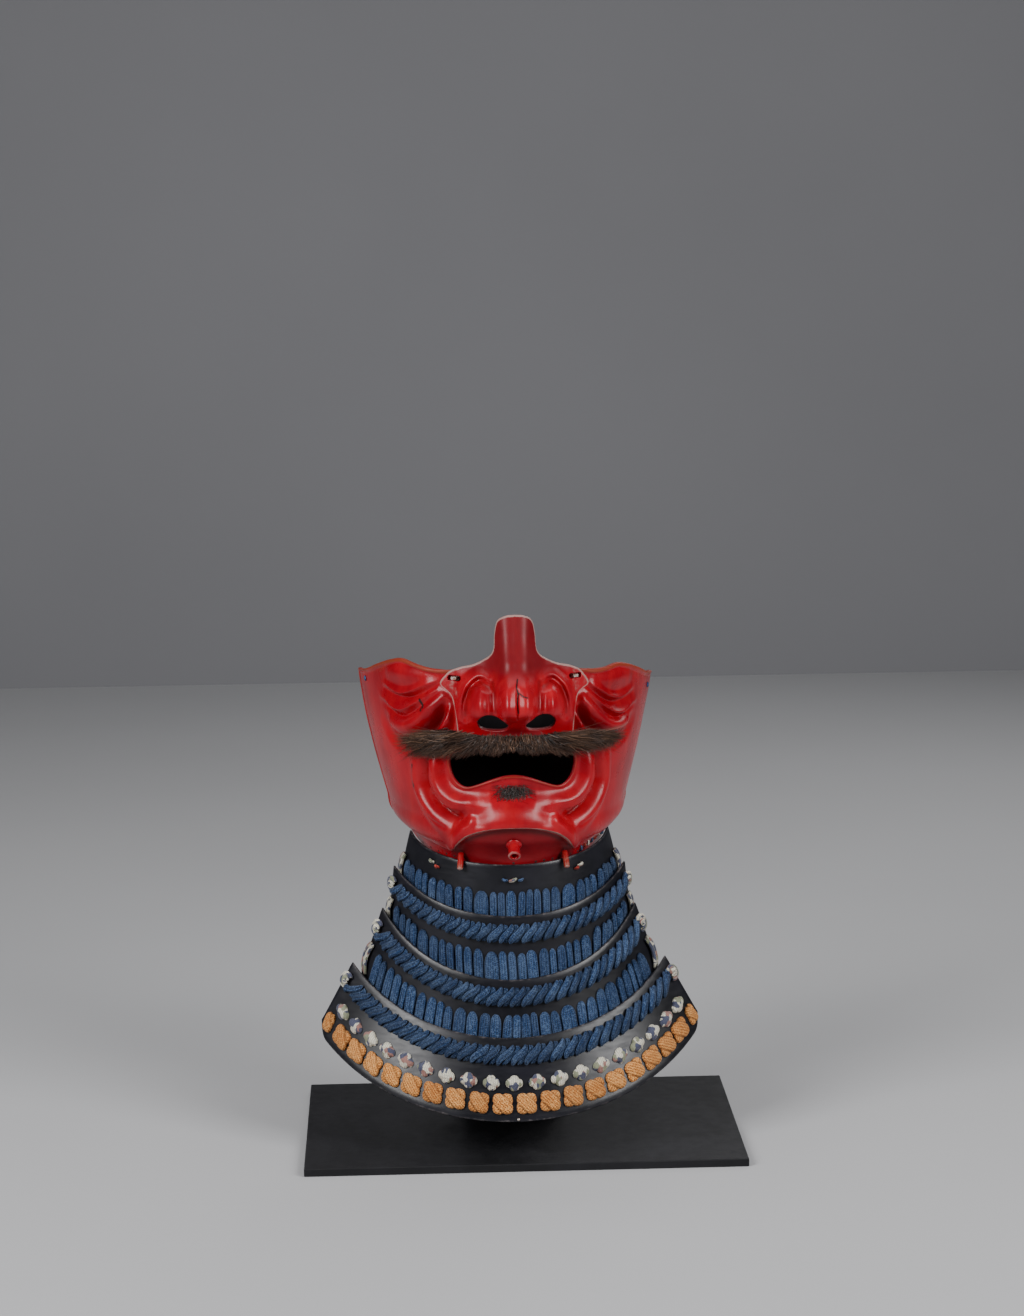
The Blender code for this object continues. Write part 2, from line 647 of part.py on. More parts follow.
def lame_grid(index, shares, turns):
    """Points of a lame's outer side: shares of its height by shares of its half angle."""
    z0, z1, rise0, rise1, r0, r1, a0, a1, y0, y1, shift = LAMES[index]
    s = np.asarray(shares, float)
    t = np.asarray(turns, float)
    radius = (r0 + (r1 - r0) * s) * MM
    angle = np.radians(a0 + (a1 - a0) * s) * t
    front = (y0 + (y1 - y0) * s) * MM
    height = (z0 + (z1 - z0) * s + (rise0 + (rise1 - rise0) * s) * t**2) * MM
    across = radius * np.sin(angle) + shift * MM
    return np.stack([across, front + radius * (1 - np.cos(angle)), height], -1)


def lame_normal(index, shares, turns):
    step = 1e-3
    across = lame_grid(index, shares, turns + step) - lame_grid(index, shares, turns - step)
    down = lame_grid(index, shares + step, turns) - lame_grid(index, shares - step, turns)
    normal = np.cross(down, across)
    return normal / np.linalg.norm(normal, axis=-1, keepdims=True)


def on_lame(index, shares, turns, lift):
    shares, turns, lift = np.broadcast_arrays(shares, turns, lift)
    shares = np.asarray(shares, float)
    turns = np.asarray(turns, float)
    return lame_grid(index, shares, turns) + lame_normal(index, shares, turns) * lift[..., None]


def build_lame(index, root, lacquer):
    turns = np.linspace(-1, 1, LAME_COLUMNS + 1)
    shares = np.linspace(0, 1, 4 if index == 3 else 2)
    if index == 3:
        turns = np.sort(np.concatenate([turns, [-0.965, 0.965]]))
    grid_t, grid_s = np.meshgrid(turns, shares, indexing="ij")
    if index == 3:
        corner = LAME_CORNER * np.clip((np.abs(grid_t) - 0.93) / 0.07, 0, 1) ** 2
        grid_s = grid_s * (1 - corner)
    outer = on_lame(index, grid_s, grid_t, 0.0)
    inner = on_lame(index, grid_s, grid_t, -LAME_WALL)
    verts, faces = solid_of_sheets(outer, inner)
    return make_object(f"throat_lame_{index + 1}", verts, faces, lacquer, root)


def even_turns(index, share, count, reach):
    """Places at equal steps of length along a lame, as shares of its half angle."""
    turns = np.linspace(-reach, reach, 400)
    points = lame_grid(index, np.full(400, share), turns)
    lengths = np.concatenate([[0], np.cumsum(np.linalg.norm(np.diff(points, axis=0), axis=1))])
    return np.interp(np.linspace(0, lengths[-1], count), lengths, turns)


def turn_length(index, share, turn=0.0):
    """Length along the lame per unit of turn."""
    near = lame_grid(index, np.full(2, share), np.array([turn - 0.01, turn + 0.01]))
    return float(np.linalg.norm(near[1] - near[0])) / 0.02


def share_length(index):
    top = lame_grid(index, np.array([0.0]), np.array([0.0]))[0]
    bottom = lame_grid(index, np.array([1.0]), np.array([0.0]))[0]
    return float(np.linalg.norm(top - bottom))


def build_knots(name, row, root, material, lame):
    """One row of knots: pads in front, stems through the lame and the cord behind it."""
    count, share, width, height, end_share, reach = row
    index = 3
    turns = even_turns(index, share, count, reach)
    per_share = share_length(index)
    stem_s = STEM_SIZE / 2 / per_share
    lift_back = -LAME_WALL - GAP
    verts = []
    faces = []
    stations = []
    for turn in turns:
        stem_t = STEM_SIZE / 2 / turn_length(index, share, turn)
        stations += [turn - stem_t, turn + stem_t]
    for turn in stations:
        for ds, lift in ((-stem_s, lift_back), (stem_s, lift_back),
                         (stem_s, lift_back - BACK_CORD), (-stem_s, lift_back - BACK_CORD)):
            verts.append(on_lame(index, share + ds, turn, lift))
    for k in range(len(stations) - 1):
        for j in range(4):
            if j == 0 and k % 2 == 0:
                continue
            a = 4 * k + j
            b = 4 * k + (j + 1) % 4
            faces.append((a, b, b + 4, a + 4))
    faces.append((0, 3, 2, 1))
    last = 4 * (len(stations) - 1)
    faces.append((last, last + 1, last + 2, last + 3))
    cut_verts = []
    cut_faces = []
    for i, turn in enumerate(turns):
        size = end_share if i in (0, count - 1) else 1.0
        per_turn = turn_length(index, share, turn)
        stem_t = STEM_SIZE / 2 / per_turn
        foot = [8 * i, 8 * i + 4, 8 * i + 5, 8 * i + 1]
        at = len(verts)
        half_t = width / 2 / per_turn * size
        half_s = height / 2 / per_share
        for grow, lift in ((0.0, GAP), (1.0, GAP), (0.74, GAP + KNOT_THICKNESS)):
            dt = stem_t if grow == 0.0 else half_t * grow
            ds = stem_s if grow == 0.0 else half_s * grow
            for st, ss in ((-1, -1), (1, -1), (1, 1), (-1, 1)):
                verts.append(on_lame(index, share + ds * ss, turn + dt * st, lift))
        for j in range(4):
            n = (j + 1) % 4
            faces.append((foot[j], foot[n], at + n, at + j))
            for level in range(2):
                a = at + 4 * level
                faces.append((a + j, a + n, a + 4 + n, a + 4 + j))
        faces.append((at + 8, at + 9, at + 10, at + 11))
        start = len(cut_verts)
        hole_t = stem_t + GAP / per_turn
        hole_s = stem_s + GAP / per_share
        for lift in (-0.004, 0.003):
            for st, ss in ((-1, -1), (1, -1), (1, 1), (-1, 1)):
                cut_verts.append(on_lame(index, share + hole_s * ss, turn + hole_t * st, lift))
        cut_faces += [tuple(start + v for v in f) for f in
                      ((0, 3, 2, 1), (4, 5, 6, 7), (0, 1, 5, 4), (1, 2, 6, 5), (2, 3, 7, 6), (3, 0, 4, 7))]
    make_object(name, verts, faces, material, root)
    cutter = make_object(name + "_holes", cut_verts, cut_faces, material, root, smooth=False)
    add_cut(lame, cutter)


def build_upright(number, root, silk):
    index, count, top, bottom = UPRIGHT_ROWS[number]
    turns = even_turns(index, top, 2 * count + 1, ROW_END)
    outer = []
    inner = []
    for k, turn in enumerate(turns):
        groove = k % 2 == 0
        head = top + (0.055 if groove else 0.0)
        lift = CORD_THICKNESS * (0.45 if groove else 1.0)
        outer.append([on_lame(index, head, turn, GAP + lift), on_lame(index, bottom, turn, GAP + lift)])
        inner.append([on_lame(index, head, turn, GAP), on_lame(index, bottom, turn, GAP)])
    verts, faces = solid_of_sheets(np.array(outer), np.array(inner))
    make_object(f"upright_lacing_{number + 1}", verts, faces, silk, root)


def build_twisted(number, root, silk):
    index, count, top, bottom = TWISTED_ROWS[number]
    turns = even_turns(index, (top + bottom) / 2, 2 * count + 1, ROW_END)
    step = turns[1] - turns[0]
    height = bottom - top
    sections = []
    for k, turn in enumerate(turns):
        groove = k % 2 == 0
        thick = TWIST_THICKNESS * (0.5 if groove else 1.0)
        inset = 0.07 * height if groove else 0.0
        section = []
        for level, lift in ((0.0, 0.0), (0.26, thick), (0.72, thick), (1.0, 0.0)):
            share = top + inset + (height - 2 * inset) * level
            lean = TWIST_LEAN * step * (1 - 2 * level)
            section.append(on_lame(index, share, np.clip(turn + lean, -ROW_END, ROW_END), GAP + lift))
        sections.append(section)
    verts, faces = loft(sections)
    make_object(f"twisted_lacing_{number + 1}", verts, faces, silk, root)


def build_edge_lacing(root, braid):
    number = 0
    rows = [(i, top, bottom, CORD_THICKNESS) for i, _, top, bottom in UPRIGHT_ROWS]
    rows += [(i, top, bottom, TWIST_THICKNESS * 0.8) for i, _, top, bottom in TWISTED_ROWS]
    rows.sort(key=lambda row: (row[0], row[1]))
    for index, top, bottom, thickness in rows:
        number += 1
        low = ROW_END + 0.006
        high = EDGE_LACING_END
        for side, label in ((-1, "left"), (1, "right")):
            outer = []
            inner = []
            for u in (-1, 0, 1):
                outer_row = []
                inner_row = []
                for v in (-1, 0, 1):
                    reach = 0.74 if u and v else 1.0
                    t = ((low + high) / 2 + (high - low) / 2 * u * reach) * side
                    s = (top + bottom) / 2 + (bottom - top) * 0.43 * v * reach
                    middle = 0.5 if u or v else 1.0
                    outer_row.append(on_lame(index, s, t, GAP + thickness * middle))
                    inner_row.append(on_lame(index, s, t, GAP))
                outer.append(outer_row)
                inner.append(inner_row)
            verts, faces = solid_of_sheets(np.array(outer), np.array(inner))
            make_object(f"edge_lacing_{label}_{number}", verts, faces, braid, root)


def front_of_mask(x, z):
    """How far forward the face plate or the nose plate reaches at a place of the front view."""
    z = np.asarray(z, float)
    angle = base_angle(x + 0 * z, z)
    front = face_point(angle, z)[:, 1]
    local = x - NOSE_SHIFT
    limit = np.interp(z, [0.2452, 0.251, 0.257], [0.0318, 0.0324, 0.033])
    nose = nose_point(local + 0 * z, z)[:, 1]
    under_nose = (z > 0.244) & (abs(local) < limit + 0.0015)
    return np.where(under_nose, np.minimum(front, nose), front)


def build_moustache(root, hair):
    sections = []
    for x, top, bottom, depth, stand in np.array(MOUSTACHE_ROWS, float) * MM:
        span = np.linspace(bottom - 0.002, top + 0.002, 28)
        back = min(float(front_of_mask(x + near, span).min()) for near in (-0.004, 0, 0.004)) - stand
        middle = (top + bottom) / 2
        sections.append([(x, back, top), (x, back - depth * 0.55, top - 0.0008),
                         (x, back - depth, middle + 0.001), (x, back - depth * 0.75, bottom + 0.0015),
                         (x, back - depth * 0.25, bottom), (x, back, middle)])
    verts, faces = loft(sections)
    make_object("moustache", verts, faces, hair, root)


def build_tuft(root, hair):
    outer = []
    inner = []
    for u in np.linspace(-1, 1, 7):
        outer_row = []
        inner_row = []
        for v in np.linspace(-1, 1, 4):
            x = u * TUFT_WIDTH / 2
            reach = math.sqrt(max(0.0, 1 - 0.8 * u * u))
            z = TUFT_Z + v * TUFT_HEIGHT / 2 * reach
            angle = np.array([float(base_angle(x, z))])
            out = base_normal(angle, np.array([z]))[0]
            seat = face_point(angle, np.array([z]))[0]
            edge = abs(u) == 1 or abs(v) == 1
            outer_row.append(seat + out * (TUFT_LIFT + TUFT_DEPTH * (0.4 if edge else 1.0)))
            inner_row.append(seat + out * TUFT_LIFT)
        outer.append(outer_row)
        inner.append(inner_row)
    verts, faces = solid_of_sheets(np.array(outer), np.array(inner))
    make_object("chin_tuft", verts, faces, hair, root)


def build_chin_fittings(root, lacquer):
    angle = np.array([0.0])
    z = np.array([TUBE_Z])
    seat = face_point(angle, z)[0]
    step = 0.001
    up = face_point(angle, z + step)[0] - face_point(angle, z - step)[0]
    out = np.cross([1.0, 0.0, 0.0], up)
    out /= np.linalg.norm(out)
    start = seat + out * (GAP * 1.6)
    profile = ((0.0, TUBE_RADIUS), (TUBE_LENGTH, TUBE_RADIUS), (TUBE_LENGTH, TUBE_BORE), (0.003, TUBE_BORE))
    verts, faces = turned_mesh(start, out, profile, 12)
    make_object("drain_tube", verts, faces, lacquer, root)
    for side, label in ((-1, "left"), (1, "right")):
        angle = np.array([float(base_angle(PEG_X * side, PEG_Z))])
        z = np.array([PEG_Z])
        seat = face_point(angle, z)[0]
        out = base_normal(angle, z)[0]
        aim = np.array([0.10 * side, -0.62, -0.78])
        aim /= np.linalg.norm(aim)
        lean = PEG_RADIUS * math.sqrt(max(0.0, 1 - (aim @ out) ** 2)) / max(0.2, aim @ out)
        start = seat + aim * (lean + GAP * 2)
        profile = ((0.0, PEG_RADIUS), (PEG_LENGTH - 0.001, PEG_RADIUS), (PEG_LENGTH, PEG_RADIUS * 0.55))
        verts, faces = turned_mesh(start, aim, profile, 8)
        make_object("cord_peg_" + label, verts, faces, lacquer, root)


def inner_half_width(z, y):
    """Half width of the mask's hollow at a height and a depth, the smaller of the two sides."""
    angles = np.linspace(0.3, math.pi / 2, 400)
    widths = []
    for side in (1.0, -1.0):
        wall = face_point(angles * side, np.full(angles.shape, z), FACE_WALL)
        near = np.abs(wall[:, 1] - y) < POST_THICKNESS * 0.75
        widths.append(np.abs(wall[near, 0]).min())
    return float(min(widths))


def build_stand(root, black):
    size = (PLATE_WIDTH, PLATE_DEPTH, PLATE_THICKNESS)
    verts, faces = box_mesh((PLATE_X, 0, PLATE_THICKNESS / 2), size)
    base = make_object("stand_base", verts, faces, black, root, smooth=False)
    bevel = base.modifiers.new("edges", "BEVEL")
    bevel.width = 0.0005
    bevel.segments = 1
    right = [(POST_HALF_WIDTH, PLATE_THICKNESS + GAP), (POST_HALF_WIDTH, POST_NECK_Z)]
    for z in np.linspace(POST_ARM_Z, POST_TOP_Z, 4):
        right.append((inner_half_width(z, POST_Y) - GAP * 1.6, z))
    right.append((0.030, POST_TOP_Z + 0.012))
    outline = right + [(-x, z) for x, z in reversed(right)]
    count = len(outline)
    verts = [(x, POST_Y - POST_THICKNESS / 2, z) for x, z in outline]
    verts += [(x, POST_Y + POST_THICKNESS / 2, z) for x, z in outline]
    faces = [tuple(range(count)), tuple(range(2 * count - 1, count - 1, -1))]
    for k in range(count):
        n = (k + 1) % count
        faces.append((k, n, n + count, k + count))
    make_object("stand_post", verts, faces, black, root, smooth=False)


def clear_scene():
    for old in list(bpy.data.objects):
        bpy.data.objects.remove(old, do_unlink=True)


clear_scene()
MATERIALS = {
    "red": make_material("red_lacquer", (0.42, 0.022, 0.012), 0.22),
    "black": make_material("black_lacquer", (0.012, 0.012, 0.015), 0.28),
    "stand": make_material("black_powder_coat", (0.010, 0.010, 0.012), 0.45),
    "steel": make_material("worn_steel", (0.30, 0.27, 0.24), 0.42, 0.9),
    "blue": make_material("blue_silk", (0.020, 0.060, 0.160), 0.75),
    "flecked": make_material("flecked_silk", (0.55, 0.56, 0.52), 0.75),
    "orange": make_material("orange_silk", (0.66, 0.30, 0.13), 0.75),
    "hair": make_material("bristle", (0.045, 0.030, 0.022), 0.60),
}
assembly = bpy.data.objects.new("assembly", None)
bpy.context.collection.objects.link(assembly)

build_face(assembly, MATERIALS["red"])
build_nose(assembly, MATERIALS["red"])
build_stand(assembly, MATERIALS["stand"])
lames = [build_lame(k, assembly, MATERIALS["black"]) for k in range(4)]
build_knots("multicolour_knots", MULTICOLOUR_ROW, assembly, MATERIALS["flecked"], lames[3])
build_knots("orange_knots", ORANGE_ROW, assembly, MATERIALS["orange"], lames[3])
for row_number in range(3):
    build_upright(row_number, assembly, MATERIALS["blue"])
    build_twisted(row_number, assembly, MATERIALS["blue"])
build_edge_lacing(assembly, MATERIALS["flecked"])
build_moustache(assembly, MATERIALS["hair"])
build_tuft(assembly, MATERIALS["hair"])
build_chin_fittings(assembly, MATERIALS["red"])
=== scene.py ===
"""Looks of the lacquered face guard with its laced throat guard on a plain stand.

Metres, +Z up. The mask faces -Y and +X is the viewer's right. Tables marked mm hold millimetres.
The base form, the outlines and the lames repeat the solids' own; the folds are finer here.
"""

import math

import bmesh
import bpy
import numpy as np
from mathutils import Matrix, Vector, kdtree


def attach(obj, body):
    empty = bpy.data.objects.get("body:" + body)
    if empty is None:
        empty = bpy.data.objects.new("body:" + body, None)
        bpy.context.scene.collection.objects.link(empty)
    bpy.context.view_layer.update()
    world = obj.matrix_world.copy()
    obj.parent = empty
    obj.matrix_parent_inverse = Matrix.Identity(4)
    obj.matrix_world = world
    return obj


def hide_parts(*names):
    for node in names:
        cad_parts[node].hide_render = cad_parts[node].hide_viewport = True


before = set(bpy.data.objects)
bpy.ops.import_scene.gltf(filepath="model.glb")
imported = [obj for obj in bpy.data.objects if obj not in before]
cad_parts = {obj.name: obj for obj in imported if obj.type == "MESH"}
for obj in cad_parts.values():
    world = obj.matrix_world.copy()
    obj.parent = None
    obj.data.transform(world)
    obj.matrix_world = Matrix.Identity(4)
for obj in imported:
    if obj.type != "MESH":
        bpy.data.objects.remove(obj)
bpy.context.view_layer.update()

MM = 0.001
GAP = 0.0003
FAR = 1e9

# Mask
FACE_WALL = 0.0018
FACE_STEPS = 10
FACE_RINGS = (60, 12, 32)
INNER_RINGS = 22
RIM_RINGS = 3
LEDGE_RAY = 8
BLEND_RAYS = 7
NOSE_WALL = 0.0018
NOSE_SEAT = 0.0005
NOSE_STEPS = 9
NOSE_CORNER_RAY = 4
NOSE_RINGS = 66
NOSE_SHIFT = 0.002
NOSE_MARGIN = 0.0008
NOSE_FADE = 0.0035
CHEEK_TILT = 0.0024
LEDGE_DEPTH = 0.0062
LEDGE_STEP = 0.0022
CHIN_HALF_WIDTH = 0.0338
CHIN_TOP_Z = 0.1944
CHIN_DROP = 0.017
TOP_LIP_HEIGHT = 0.0010
MOUTH_LIP_HEIGHT = 0.0007
# Depth of a groove at which its painted shade is full
FULL_SHADE_DEPTH = 0.0042
NOSTRIL_DEPTH = 0.0034
SLOT_LENGTH = 0.0095
SLOT_HEIGHT = 0.0032
SLOT_X = 0.0335
SLOT_Z = 0.2796
SLOT_SIDES = 20
SLOT_LEVELS = (-0.003, 0.006)

# Metres for a radian, where an angle of the base form is compared with a height
ANGLE_LENGTH = 0.08

# The jaw's lower edge beside the chin, and the share of the ledge's depth by distance from the middle
JAW_X = (0.0338, 0.0414, 0.0472, 0.059)
JAW_Z = (0.1774, 0.1789, 0.1805, 0.1815)
LEDGE_X = (0, 0.02, 0.034, 0.048, 0.062)
LEDGE_SHARES = (1, 0.9, 0.5, 0.3, 0.1)

# Distances over which a form or a mark fades: whole up to the first, gone at the second
FADES = {
    "top_lip": (0.00084, 0.0024),
    "mouth_lip": (0.00064, 0.0016),
    "rim_worn": (0.0005, 0.0030),
    "corner_worn": (0.002, 0.012),
    "mouth_worn": (0.0003, 0.0012),
    "mouth_bare_and_sheen": (0.0001, 0.0008),
    "ledge": (0.0002, 0.0016),
    "ledge_shadow": (0.002, 0.006),
    "face_crack": (0.0001, 0.0026),
    "nose_crack": (0.0001, 0.0014),
    "nose_worn": (0.0004, 0.0030),
    "nose_bare_and_sheen": (0.0002, 0.0013),
    "nostril": (0.0, 0.0012),
    "nose_groove_shade": (0.0, 0.0024),
    "lame_wear_and_sheen": (0.0, 0.0012),
}

# Bands over which a mark grows: none up to the first, whole from the second
GROWTHS = {
    "above_flange": (0.172, 0.185),
    "cheek_side": (0.060, 0.072),
    "cheek_top": (0.246, 0.272),
    "under_chin": (0.170, 0.182),
    "below_ledge": (0.0008, 0.0016),
    "chin_shade": (0.0006, 0.0030),
    "bridge_shade": (0.279, 0.288),
    "tab_side": (0.029, 0.033),
    "tab_top": (0.266, 0.271),
}

# Walls turned in at a nostril: distance towards its middle and distance back
NOSTRIL_WALL = ((0.0002, 0.0005), (0.0003, 0.0013), (0.0003, NOSTRIL_DEPTH), (0.0002, NOSTRIL_DEPTH))

# Chin fittings
TUBE_RADIUS = 0.0034
TUBE_BORE = 0.0019
TUBE_LENGTH = 0.0085
TUBE_Z = 0.1835
PEG_RADIUS = 0.0017
PEG_LENGTH = 0.0105
PEG_X = 0.030
PEG_Z = 0.1765

# Drain tube: distance along it, radius, orange-brown mark, pale mark
TUBE_PROFILE = (
    (0.0, 0.0046, 0.1, 0.0),
    (0.0006, 0.0043, 0.1, 0.0),
    (0.0012, TUBE_RADIUS, 0.0, 0.2),
    (TUBE_LENGTH - 0.0016, TUBE_RADIUS, 0.2, 0.3),
    (TUBE_LENGTH - 0.0010, TUBE_RADIUS + 0.0003, 0.3, 0.6),
    (TUBE_LENGTH - 0.0003, TUBE_RADIUS + 0.0002, 0.3, 0.75),
    (TUBE_LENGTH, TUBE_RADIUS - 0.0004, 0.3, 0.75),
    (TUBE_LENGTH, TUBE_BORE + 0.0002, 0.3, 0.4),
    (TUBE_LENGTH - 0.0004, TUBE_BORE, 0.2, 0.0),
    (0.003, TUBE_BORE, 0.0, 0.0),
)
# Cord pegs, in the same way
PEG_PROFILE = (
    (0.0, PEG_RADIUS * 0.95, 0.5, 0.5),
    (0.002, PEG_RADIUS, 0.6, 0.55),
    (PEG_LENGTH * 0.7, PEG_RADIUS * 1.02, 0.7, 0.55),
    (PEG_LENGTH - 0.001, PEG_RADIUS, 0.8, 0.6),
    (PEG_LENGTH - 0.0003, PEG_RADIUS * 0.82, 0.8, 0.75),
    (PEG_LENGTH, PEG_RADIUS * 0.5, 0.8, 0.75),
)

# Throat guard
LAME_WALL = 0.0015
LAME_COLUMNS = 150
LAME_ROWS = 16
LAME_CORNER = 0.13
LAME_HALF_LENGTH = 0.08
LAST_LAME = 3
CORD_THICKNESS = 0.0024
WIDE_CORD_HALF = 0.0040
KNOT_THICKNESS = 0.0034
RUN_POINTS = 160
RUN_SIDES = 8

# Strands of a twisted cord: how much shorter it leans, shift aside in cord pitches, radius, rise
TWIST_STRANDS = ((0.00, 0.00, 0.00205, 0.0008), (0.10, 0.50, 0.00118, 0.0000), (0.16, 0.76, 0.00090, 0.0000))

# Base form of the mask, mm: height, half width, rear edge, front
FACE_ROWS = (
    (160, 55.5, 42.0, -32.5),
    (168, 56.3, 43.5, -33.2),
    (172, 57.2, 45.0, -34.2),
    (176, 58.8, 47.4, -36.4),
    (180, 61.0, 50.0, -39.6),
    (184, 67.0, 56.0, -43.0),
    (196, 72.0, 62.0, -45.0),
    (211, 76.5, 66.0, -43.0),
    (228, 81.0, 70.0, -42.0),
    (246, 85.0, 73.0, -41.0),
    (264, 88.0, 75.0, -38.0),
    (286, 89.0, 76.0, -36.0),
    (300, 89.0, 77.0, -34.0),
    (317, 88.0, 77.0, -33.0),
)

# Rays across half of the face plate, mm: mouth x, mouth z, edge x, edge z, 1 at a corner.
# An edge x beyond the half width lies on the rear edge.
REAR = 99.0
FACE_RAYS = (
    (0.0, 223.4, 0.0, 166.6, 0),
    (5.0, 223.0, 9.0, 166.7, 0),
    (10.0, 221.7, 18.0, 167.0, 0),
    (14.6, 220.1, 27.0, 167.6, 0),
    (19.0, 218.4, 35.0, 168.4, 0),
    (23.2, 216.9, 42.0, 169.4, 0),
    (27.0, 216.1, 48.4, 170.8, 0),
    (30.0, 216.8, 53.4, 173.0, 0),
    (32.4, 218.5, 57.4, 176.4, 0),
    (34.2, 220.8, REAR, 181.5, 1),
    (35.4, 223.2, REAR, 191.0, 0),
    (36.2, 225.8, REAR, 199.0, 0),
    (36.7, 228.4, REAR, 209.0, 0),
    (36.8, 230.8, REAR, 220.0, 0),
    (36.6, 232.8, REAR, 232.0, 0),
    (36.0, 234.5, REAR, 244.0, 0),
    (35.2, 235.6, REAR, 256.0, 0),
    (34.3, 236.3, REAR, 266.5, 1),
    (33.5, 236.6, 83.0, 272.5, 0),
    (32.7, 236.9, 76.0, 278.3, 0),
    (31.9, 237.1, 69.0, 282.3, 0),
    (31.1, 237.3, 62.5, 284.2, 0),
    (30.3, 237.6, 55.0, 282.8, 0),
    (29.5, 237.8, 47.0, 282.0, 0),
    (28.8, 238.0, 39.0, 282.6, 0),
    (28.0, 238.2, 32.5, 283.5, 0),
    (27.2, 238.4, 27.5, 283.5, 1),
    (26.4, 238.6, 26.3, 270.0, 0),
    (25.4, 238.9, 26.0, 257.0, 0),
    (23.8, 239.4, 24.6, 249.6, 1),
    (20.0, 240.4, 19.0, 247.4, 0),
    (13.5, 241.6, 12.5, 247.0, 0),
    (6.8, 242.3, 6.2, 247.0, 0),
    (0.0, 242.5, 0.0, 247.0, 0),
)

# Rays around the nostril of half of the nose plate, mm: hole x, hole z, edge x, edge z, corner
NOSE_RAYS = (
    (8.0, 252.1, 0.0, 244.0, 1),
    (11.0, 251.8, 8.0, 244.0, 0),
    (14.0, 251.7, 16.0, 244.0, 0),
    (17.0, 251.9, 24.0, 244.3, 0),
    (19.6, 252.6, 31.8, 245.2, 1),
    (21.0, 254.2, 32.4, 251.0, 0),
    (21.6, 256.0, 33.0, 257.0, 0),
    (21.6, 257.8, 33.9, 263.0, 0),
    (20.8, 259.6, 35.2, 268.5, 0),
    (20.0, 260.6, 37.5, 271.6, 0),
    (19.2, 261.3, 41.2, 274.4, 0),
    (18.4, 261.8, 41.2, 276.8, 0),
    (17.6, 262.1, 39.0, 280.0, 0),
    (16.8, 262.3, 36.0, 283.0, 0),
    (16.0, 262.4, 30.0, 285.6, 0),
    (15.2, 262.4, 23.5, 287.4, 0),
    (14.3, 262.3, 17.5, 290.4, 0),
    (13.4, 262.0, 13.6, 293.6, 0),
    (12.5, 261.8, 11.8, 298.0, 0),
    (11.6, 261.4, 11.3, 306.0, 0),
    (10.7, 261.1, 9.6, 313.0, 0),
    (9.8, 260.7, 5.0, 316.0, 0),
    (8.9, 260.2, 0.0, 316.5, 1),
    (8.1, 259.7, 0.0, 306.0, 0),
    (7.4, 259.2, 0.0, 296.0, 0),
    (6.7, 258.6, 0.0, 287.0, 0),
    (6.1, 258.0, 0.0, 279.0, 0),
    (5.5, 257.3, 0.0, 271.5, 0),
    (5.0, 256.5, 0.0, 264.5, 0),
    (4.6, 255.5, 0.0, 258.5, 0),
    (4.6, 254.3, 0.0, 253.5, 0),
    (5.6, 252.9, 0.0, 248.5, 0),
)
NOSE_TOP_RAY = 22

# How far the nose stands out in front of its tabs, mm, by height and by distance from the middle
NOSE_STATIONS = (0.0, 6.0, 12.0, 16.0, 21.0, 27.0, 34.0)
NOSE_ROWS = (
    (244.0, (6.5, 6.4, 6.0, 5.4, 4.0, 2.4, 0.4)),
    (251.5, (13.5, 13.2, 11.8, 10.0, 8.0, 5.0, 1.0)),
    (258.0, (22.6, 21.2, 18.0, 15.8, 13.8, 9.8, 1.4)),
    (263.0, (29.6, 28.0, 23.4, 18.8, 16.8, 12.2, 1.4)),
    (268.0, (31.0, 29.2, 24.4, 18.6, 16.4, 11.9, 1.0)),
    (276.0, (28.2, 26.6, 20.2, 15.2, 12.8, 7.8, 0.5)),
    (283.0, (24.0, 21.8, 13.4, 8.2, 5.4, 2.1, 0.0)),
    (290.0, (17.8, 16.6, 7.8, 3.2, 1.0, 0.2, 0.0)),
    (300.0, (11.6, 10.9, 3.4, 0.8, 0.0, 0.0, 0.0)),
    (317.0, (6.0, 5.5, 1.0, 0.0, 0.0, 0.0, 0.0)),
)

